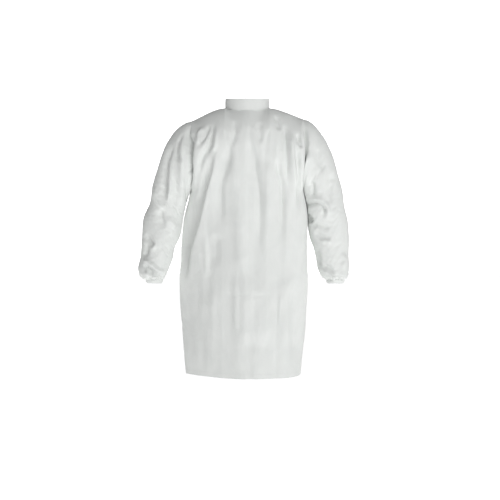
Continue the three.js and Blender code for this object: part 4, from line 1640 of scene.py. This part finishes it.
@dataclass
class HipPockets:
    """The patch pockets low on the fronts.

    Attributes:
        inset: Centre line to a pocket's inner edge.
        width: Of a pocket.
        top: Height of the mouth.
        depth: From the mouth to the bottom.
        bulge: How far the mouth stands open.
        mouth: Height of the doubled mouth.
        flat: The cut size in metres.
    """

    inset: float = 36
    width: float = 112
    top: float = -592
    depth: float = 158
    bulge: float = 9
    mouth: float = 22
    flat: tuple[float, float] = (0.128, 0.182)

    def build(self, shell: Shell, bends: Bends, finishes: Finishes) -> None:
        """Makes both pockets.

        Args:
            shell: The hanging cloth.
            bends: Where the cloth bends.
            finishes: The materials.
        """
        for hand in Hand:
            grid = shell.grids[f"{hand.word}_front"]
            middle = grid.points.shape[1] // 2
            xs = sorted(hand.value * np.array([self.inset, self.inset + self.width]))
            columns = np.linspace(grid.column_at(xs[0]), grid.column_at(xs[1]), 33)
            rows = np.linspace(grid.row_at(self.top, middle),
                               grid.row_at(self.top - self.depth, middle), 43)
            across, down = np.linspace(0, 1, 33), np.linspace(0, 1, 43)[:, None]
            swell = np.sin(math.pi * across) ** 0.8 * (1 - down) ** 1.3
            puff = np.sin(math.pi * across) ** 0.5 * np.sin(math.pi * np.clip(down, 0, 1)) ** 0.6
            lift = CLOTH_THICKNESS + 0.5 + self.bulge * swell + 1.6 * puff
            patch = grid.patch(rows, columns, lift)
            pocket = patch.piece(f"{hand.word}_hip_pocket_patch", CLOTH_THICKNESS,
                                 finishes.cloth, True)
            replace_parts(pocket, f"{hand.word}_hip_pocket")
            reach = self.mouth / self.depth * 42
            inner = patch.patch(np.linspace(0.1, reach, 9), np.linspace(0.6, 31.4, 33),
                                -(CLOTH_THICKNESS + 0.3))
            band = inner.piece(f"{hand.word}_pocket_mouth", CLOTH_THICKNESS, finishes.band)
            u = np.concatenate([np.full(60, 1.2), np.linspace(1.2, 30.8, 60), np.full(60, 30.8)])
            side = np.linspace(0.5, 40.8, 60)
            v = np.concatenate([side, np.full(60, 40.8), np.linspace(40.8, 0.5, 60)])
            outline = patch.patch(v[:, None], u[:, None], THREAD_LIFT).points[:, 0]
            hem = patch.patch(np.array([reach * 0.92]), np.linspace(1, 31, 60),
                              THREAD_LIFT).points[0]
            thread = stitches(f"{hand.word}_pocket_stitching", [outline, hem], finishes.thread)
            for piece in (pocket, band, thread):
                bends.front(piece, hand)
            log.info("%s hip pocket %.4f m2", hand.word, patch.area())


@dataclass
class Collar:
    """The stand collar, in a back length and two front lengths.

    Attributes:
        height: Of the band.
        top: The height of its upper edge at the sides.
        back_top: The same, at the centre back.
        thickness: Of its doubled cloth.
        end_gap: Between the centre line and each end.
        corner: Radius of the ends' upper corners.
        overlap: How far the band covers the neckline's edge.
        oval: How much wider than deep the ring is from which the band leans out.
        rows: Rows of cloth up the band.
    """

    height: float = 39
    top: float = 37
    back_top: float = 25
    thickness: float = 1.3
    end_gap: float = 2.5
    corner: float = 12
    overlap: float = 3
    oval: float = 1.37
    rows: int = 14

    def build(self, shell: Shell, bends: Bends, finishes: Finishes) -> None:
        """Makes the three lengths of the band.

        Args:
            shell: The hanging cloth.
            bends: Where the cloth bends.
            finishes: The materials.
        """
        base, parts = self._neckline(shell)
        step = np.linalg.norm(np.diff(base, axis=0), axis=1)
        along = np.concatenate([[0], np.cumsum(step)])
        from_end = np.minimum(along, along[-1] - along)
        k = np.clip(1 - from_end / self.corner, 0, 1)
        edge = self.top - (self.top - self.back_top) * smoothstep(base[:, 1], 0, base[:, 1].max())
        level = np.where(base[:, 1] > 0, edge - base[:, 2],
                         np.minimum(self.height, self.top - base[:, 2]))
        top = level - self.corner * (1 - np.sqrt(1 - k * k))
        x, y = base[:, 0] - base[:, 0].mean(), base[:, 1] * self.oval
        out = np.stack([x, y, np.zeros(len(base))], axis=1)
        out /= np.linalg.norm(out, axis=1, keepdims=True)
        wave = SoftNoise(SEED + 5)
        share = np.linspace(0, 1, self.rows + 1)[:, None, None]
        lift = -self.overlap + share * (top + self.overlap)[None, :, None]
        sway = 0.8 - 0.6 * share + 0.7 * np.sin(share * math.pi)
        rough = 0.7 * wave(along / 46, share[:, :, 0] * 1.5)[..., None]
        points = base + np.array([0, 0, 1]) * lift + out * (sway + rough)
        for name, (a, b), replaced, hand in parts:
            grid = ClothGrid(points[:, a: b + 1][::-1], flip=True)
            band = grid.piece(name, self.thickness, finishes.band, True)
            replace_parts(band, *replaced)
            line = grid.patch(np.array([self.rows - 1.4]),
                              np.linspace(0.5, b - a - 0.5, 6 * (b - a)), 0.12).points[0]
            thread = stitches(f"{name}_stitching", [line], finishes.thread)
            for piece in (band, thread):
                if hand is None:
                    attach(piece, "body")
                else:
                    bends.front(piece, hand)

    def _neckline(self, shell: Shell) -> tuple[np.ndarray, list]:
        """The neckline's edge from the left front, round the back, to the right front.

        Args:
            shell: The hanging cloth.

        Returns:
            The points, and each length's name, first and last point, nodes and hand.
        """
        back, left, right = (shell.grids[name].points[0]
                             for name in ("back", "left_front", "right_front"))
        neck, middle = 2 * shell.body.neck_columns, len(back) // 2
        left_part = left[4: 4 + neck + 1]
        right_part = right[len(right) - 5 - neck: len(right) - 4]
        back_part = back[middle - neck: middle + neck + 1][::-1]
        left_part = left_part[left_part[:, 0] > self.end_gap]
        right_part = right_part[right_part[:, 0] < -self.end_gap]
        right_part = right_part[np.argsort(-right_part[:, 1])]
        first = len(left_part) - 1
        last = first + len(back_part) - 1
        base = np.concatenate([left_part, back_part[1:], right_part[1:]])
        end = len(base) - 1
        return base, [
            ("collar_left_length", (0, first), ("collar_left_fold", "collar_left_end"), Hand.LEFT),
            ("collar_back_length", (first, last), ("collar_back",), None),
            ("collar_right_length", (last, end), ("collar_right_fold", "collar_right_end"),
             Hand.RIGHT),
        ]


@dataclass
class Sleeves:
    """The sleeves, their gathered cuffs and the elastic in them.

    Attributes:
        band: Height of a cuff.
        pleats: Small pleats around a cuff.
        flat: A sleeve's cut size, width and length, in metres.
        area: Its cut area in square metres.
        cuff_flat: A cuff's cut size, width and length, in metres.
        cuff_area: Its area once folded double, in square metres.
    """

    band: float = 17
    pleats: int = 34
    flat: tuple[float, float] = (0.66, 0.66)
    area: float = 0.30
    cuff_flat: tuple[float, float] = (0.27, 0.05)
    cuff_area: float = 0.0045

    def build(self, shell: Shell, bends: Bends, finishes: Finishes) -> None:
        """Makes both sleeves.

        Args:
            shell: The hanging cloth.
            bends: Where the cloth bends.
            finishes: The materials.
        """
        for hand in Hand:
            grid = shell.grids[f"{hand.word}_sleeve"]
            log.info("%s sleeve cloth %.3f m2", hand.word, grid.area())
            sleeve = grid.piece(f"{hand.word}_sleeve_cloth", CLOTH_THICKNESS, finishes.cloth)
            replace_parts(sleeve, f"{hand.word}_sleeve", f"{hand.word}_sleeve_head")
            bends.sleeve(sleeve, hand)
            seam = np.concatenate([grid.points[0], grid.points[:1, 0]])
            thread = stitches(f"{hand.word}_armhole_stitching", [seam], finishes.thread)
            bends.sleeve(thread, hand)
            cuff, elastic = self._cuff(grid, hand, finishes)
            for piece, place in ((cuff, "band_cloth"), (elastic, "elastic")):
                bends.sleeve(piece, hand)

    def _cuff(self, grid: ClothGrid, hand: Hand,
              finishes: Finishes) -> tuple[bpy.types.Object, bpy.types.Object]:
        """Makes a cuff and its elastic below a sleeve's last ring.

        Args:
            grid: The sleeve.
            hand: The side.
            finishes: The materials.

        Returns:
            The cuff and the elastic.
        """
        ring = grid.points[-1]
        centre = ring.mean(axis=0)
        down = np.cross(grid.points[-1, 0] - centre, grid.points[-1, len(ring) // 4] - centre)
        down /= np.linalg.norm(down) * (1 if down[2] < 0 else -1)
        count = 8 * self.pleats
        turn = np.arange(count) / count
        index = turn * len(ring)
        smooth = ring.copy()
        for _ in range(6):
            smooth = (np.roll(smooth, 2, 0) + smooth * 2 + np.roll(smooth, -2, 0)) / 4
        i = index.astype(int)
        f = (index - i)[:, None]
        base = smooth[i] * (1 - f) + smooth[(i + 1) % len(ring)] * f
        out = base - centre
        out -= down * (out @ down)[:, None]
        out /= np.linalg.norm(out, axis=1, keepdims=True)
        rows = np.linspace(0, 1, 15)
        bulge = 1.9 * np.sin(math.pi * np.clip(rows, 0, 1)) ** 0.5 - 0.4 - 4 * rows**3
        wobble = SoftNoise(SEED + 6)(turn * 19, turn * 0 + 2)
        pleat = 0.75 * np.cos(2 * math.pi * self.pleats * turn + 1.6 * wobble)
        edges = (0.35 + 0.65 * np.abs(rows - 0.5) * 2)[:, None]
        points = (base + down * (rows * self.band - 2)[:, None, None]
                  + out * (bulge[:, None] + pleat * edges)[..., None])
        tube = ClothGrid(points, is_tube=True, flip=grid.flip)
        cuff = tube.piece(f"{hand.word}_cuff_band", 1.1, finishes.band, True)
        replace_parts(cuff, f"{hand.word}_cuff")
        inner = base[::2] + down * (np.linspace(0.22, 0.74, 7) * self.band - 2)[:, None, None] \
            + out[::2] * (-2.6 + 0.15 * np.cos(2 * math.pi * 2 * self.pleats * turn[::2]))[:, None]
        strip = ClothGrid(inner, is_tube=True, flip=grid.flip)
        elastic = strip.piece(f"{hand.word}_wrist_elastic", 0.9, finishes.elastic, True)
        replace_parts(elastic, f"{hand.word}_cuff_elastic")
        log.info("%s cuff %.4f m2", hand.word, tube.area())
        return cuff, elastic


@dataclass
class NeckLabel:
    """The blank label inside the back of the collar.

    Attributes:
        width: Of the label.
        height: Of the label.
        thickness: Of its tape.
    """

    width: float = 34
    height: float = 24
    thickness: float = 0.5

    def build(self, shell: Shell, finishes: Finishes) -> None:
        """Makes the label.

        Args:
            shell: The hanging cloth.
            finishes: The materials.
        """
        middle = shell.grids["back"].points[0, shell.grids["back"].points.shape[1] // 2]
        u, v = np.meshgrid(np.linspace(-1, 1, 17), np.linspace(0, 1, 13))
        x = middle[0] + u * self.width / 2
        y = middle[1] - 2.6 - 3.2 * u**2 - 0.8 * np.sin(math.pi * v) - 0.7 * v
        z = middle[2] + 31 - v * self.height
        grid = ClothGrid(np.stack([x, y, z], axis=2))
        label = grid.piece("neck_label_tape", self.thickness, finishes.label, True)
        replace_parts(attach(label, "body"), "neck_label")
        top = grid.patch(np.array([0.8]), np.linspace(0.6, 15.4, 60),
                         -self.thickness - 0.1).points[0]
        thread = stitches("neck_label_stitching", [top], finishes.thread)
        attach(thread, "body")


@dataclass
class Snaps:
    """The five plastic snaps down the front.

    Attributes:
        heights: Of the snaps.
        radius: Of a cap.
        sides: Around each disc.
    """

    heights: tuple[float, ...] = (-84, -262, -440, -618, -796)
    radius: float = 6.4
    sides: int = 32

    def build(self, shell: Shell, finishes: Finishes) -> None:
        """Makes the four parts of each snap.

        Args:
            shell: The hanging cloth.
            finishes: The materials.
        """
        layers = 2 * CLOTH_THICKNESS + 0.35
        kinds = (
            ("cap", self._cap, Hand.LEFT, 0.05, 1),
            ("socket", self._socket, Hand.LEFT, -layers - 0.05, -1),
            ("stud", self._stud, Hand.RIGHT, 0.05, 1),
            ("post", self._cap, Hand.RIGHT, -layers - 0.05, -1),
        )
        for kind, make, hand, lift, facing in kinds:
            pattern = make()
            pattern.data.materials.append(finishes.plastic)
            for number, z in enumerate(self.heights, 1):
                grid = shell.grids[f"{hand.word}_front"]
                p, n = self._spot(grid, z)
                snap = bpy.data.objects.new(f"snap_{kind}_part_{number}", pattern.data.copy())
                bpy.context.scene.collection.objects.link(snap)
                turn = Vector(n * facing).to_track_quat("Z", "Y").to_matrix().to_4x4()
                snap.data.transform(Matrix.Translation(Vector((p + n * lift) * MM)) @ turn)
                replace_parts(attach(snap, f"{hand.word}_front"), f"snap_{kind}_{number}")
            bpy.data.objects.remove(pattern)
            log.info("snap %s, %d pieces", kind, len(self.heights))

    def _spot(self, grid: ClothGrid, z: float) -> tuple[np.ndarray, np.ndarray]:
        """Where a snap sits on a front's centre line, and the outward direction there."""
        column = grid.column_at(0)
        row = grid.row_at(z, round(column))
        here, beyond = (grid.patch(np.array([row]), np.array([column]), lift).points[0, 0]
                        for lift in (0, 1))
        return here, beyond - here

    def _disc(self, radius: float, depth: float) -> bpy.types.Object:
        """A disc standing on the origin, with its upper face selected in edit mode.

        Args:
            radius: In millimetres.
            depth: In millimetres.

        Returns:
            The object, in edit mode.
        """
        bpy.ops.object.select_all(action="DESELECT")
        bpy.ops.mesh.primitive_cylinder_add(
            vertices=self.sides, radius=radius * MM, depth=depth * MM,
            location=(0, 0, depth * MM / 2))
        obj = bpy.context.object
        bpy.ops.object.transform_apply(location=True)
        self._select_face(obj, lambda f: f.normal.z > 0.9)
        return obj

    @staticmethod
    def _select_face(obj: bpy.types.Object,
                     wanted: Callable[[bpy.types.MeshPolygon], bool]) -> None:
        """Selects the faces that pass a test, and enters edit mode on them."""
        if obj.mode == "EDIT":
            bpy.ops.object.mode_set(mode="OBJECT")
        for part in (obj.data.polygons, obj.data.edges, obj.data.vertices):
            part.foreach_set("select", [False] * len(part))
        for face in obj.data.polygons:
            face.select = wanted(face)
        bpy.ops.object.mode_set(mode="EDIT")
        bpy.ops.mesh.select_mode(type="FACE")

    @staticmethod
    def _raise(height: float, shrink: float) -> None:
        """Insets the selected face and moves it up, or down where the height is negative."""
        bpy.ops.mesh.inset(thickness=shrink * MM)
        bpy.ops.transform.translate(value=(0, 0, height * MM))

    @staticmethod
    def _soften(obj: bpy.types.Object, width: float) -> bpy.types.Object:
        """Leaves edit mode, rounds the edges and shades the piece.

        Args:
            obj: The piece.
            width: Of the rounding, in millimetres.

        Returns:
            The piece.
        """
        bpy.ops.object.mode_set(mode="OBJECT")
        bevel = obj.modifiers.new("rounding", "BEVEL")
        bevel.width, bevel.segments, bevel.limit_method = width * MM, 3, "ANGLE"
        bevel.angle_limit = math.radians(28)
        bpy.ops.object.modifier_apply(modifier=bevel.name)
        bpy.ops.object.shade_smooth_by_angle(angle=math.radians(40))
        return obj

    def _cap(self) -> bpy.types.Object:
        """A cap: a disc with a raised rim and a shallow dish."""
        obj = self._disc(self.radius, 1.0)
        self._raise(0.5, 0.7)
        self._raise(0.0, 0.5)
        self._raise(-0.35, 0.9)
        self._raise(-0.1, 1.8)
        return self._soften(obj, 0.18)

    def _socket(self) -> bpy.types.Object:
        """A socket: a ring with a round hole for the stud."""
        obj = self._disc(self.radius - 0.5, 1.2)
        self._raise(0.4, 0.8)
        self._raise(0.0, 1.1)
        self._raise(-1.0, 0.3)
        return self._soften(obj, 0.14)

    def _stud(self) -> bpy.types.Object:
        """A stud: a flange with a knob that has a narrower neck."""
        obj = self._disc(self.radius - 0.7, 0.6)
        self._raise(0.15, 2.6)
        for height, size in ((0.5, 0.92), (0.6, 1.22), (0.5, 0.74)):
            bpy.ops.mesh.extrude_region_move(TRANSFORM_OT_translate={"value": (0, 0, height * MM)})
            bpy.ops.transform.resize(value=(size, size, 1))
        return self._soften(obj, 0.12)


# ---- Studio -------------------------------------------------------------------------------


@dataclass
class Studio:
    """A pale floor, soft light and the camera.

    Attributes:
        floor_height: Of the floor, in metres.
        floor_size: Of the floor, in metres.
        view_angle: The camera's, in degrees.
        eye: The camera's place, in metres.
        ambient: The strength of the light from all round.
        front_light: Its strength from in front of the coat.
        front_cone: The directions, as Y, between which the one turns into the other.
        key_power: The key light's, in watts.
        key_place: The key light's place, in metres.
        key_aim: The point that it shines at, in metres.
        key_size: The key light's width, in metres.
    """

    floor_height: float = -1.55
    floor_size: float = 60
    view_angle: float = 37.1
    eye: tuple[float, float, float] = (-0.019, 2.8, -0.531)
    ambient: float = 0.2
    front_light: float = 2.2
    key_power: float = 49
    front_cone: tuple[float, float] = (-0.9, -0.8)
    key_place: tuple[float, float, float] = (-1.75, 3.1, 0.65)
    key_aim: tuple[float, float, float] = (0, 0, -0.5)
    key_size: float = 1.8

    def build(self) -> None:
        """Makes the studio."""
        bpy.ops.object.select_all(action="DESELECT")
        bpy.ops.mesh.primitive_plane_add(size=self.floor_size, location=(0, 0, self.floor_height))
        floor = bpy.context.object
        floor.name = "studio_floor"
        floor.data.materials.append(StageFinish().material())
        self._light_room()
        light = bpy.data.lights.new("key_light", "AREA")
        light.energy, light.size = self.key_power, self.key_size
        key = bpy.data.objects.new("key_light", light)
        key.location = self.key_place
        aim = Vector(self.key_aim) - key.location
        key.rotation_euler = aim.to_track_quat("-Z", "Y").to_euler()
        bpy.context.scene.collection.objects.link(key)
        lens = bpy.data.cameras.new("camera")
        lens.angle = math.radians(self.view_angle)
        camera = bpy.data.objects.new("camera", lens)
        camera.location = self.eye
        camera.rotation_euler = (math.radians(90), 0, math.radians(180))
        bpy.context.scene.collection.objects.link(camera)
        bpy.context.scene.camera = camera
        bpy.context.scene.view_settings.view_transform = "Standard"

    def _light_room(self) -> None:
        """Makes the room's soft light around a white backdrop, brightest in front of the coat."""
        world = bpy.data.worlds.new("studio_world")
        world.use_nodes = True
        nodes, links = world.node_tree.nodes, world.node_tree.links
        background = nodes["Background"]
        background.inputs["Color"].default_value = (1, 1, 1, 1)
        way = nodes.new("ShaderNodeTexCoord")
        parts = nodes.new("ShaderNodeSeparateXYZ")
        level = nodes.new("ShaderNodeMapRange")
        level.interpolation_type = "SMOOTHSTEP"
        low, high = self.front_cone
        for name, value in (("From Min", low), ("From Max", high),
                            ("To Min", self.front_light), ("To Max", self.ambient)):
            level.inputs[name].default_value = value
        links.new(way.outputs["Generated"], parts.inputs["Vector"])
        links.new(parts.outputs["Y"], level.inputs["Value"])
        seen = nodes.new("ShaderNodeLightPath")
        brighter = nodes.new("ShaderNodeMath")
        brighter.operation = "MAXIMUM"
        links.new(level.outputs["Result"], brighter.inputs[0])
        links.new(seen.outputs["Is Camera Ray"], brighter.inputs[1])
        links.new(brighter.outputs["Value"], background.inputs["Strength"])
        bpy.context.scene.world = world


def main() -> None:
    """Builds the coat and the studio."""
    logging.basicConfig(level=logging.INFO, format="%(name)s: %(message)s")
    Studio().build()
    finishes, bends, shell = Finishes(), Bends(), Shell()
    shell.shape()
    Panels().build(shell, bends, finishes)
    HipPockets().build(shell, bends, finishes)
    Collar().build(shell, bends, finishes)
    Sleeves().build(shell, bends, finishes)
    NeckLabel().build(shell, finishes)
    Snaps().build(shell, finishes)


if __name__ == "__main__":
    main()
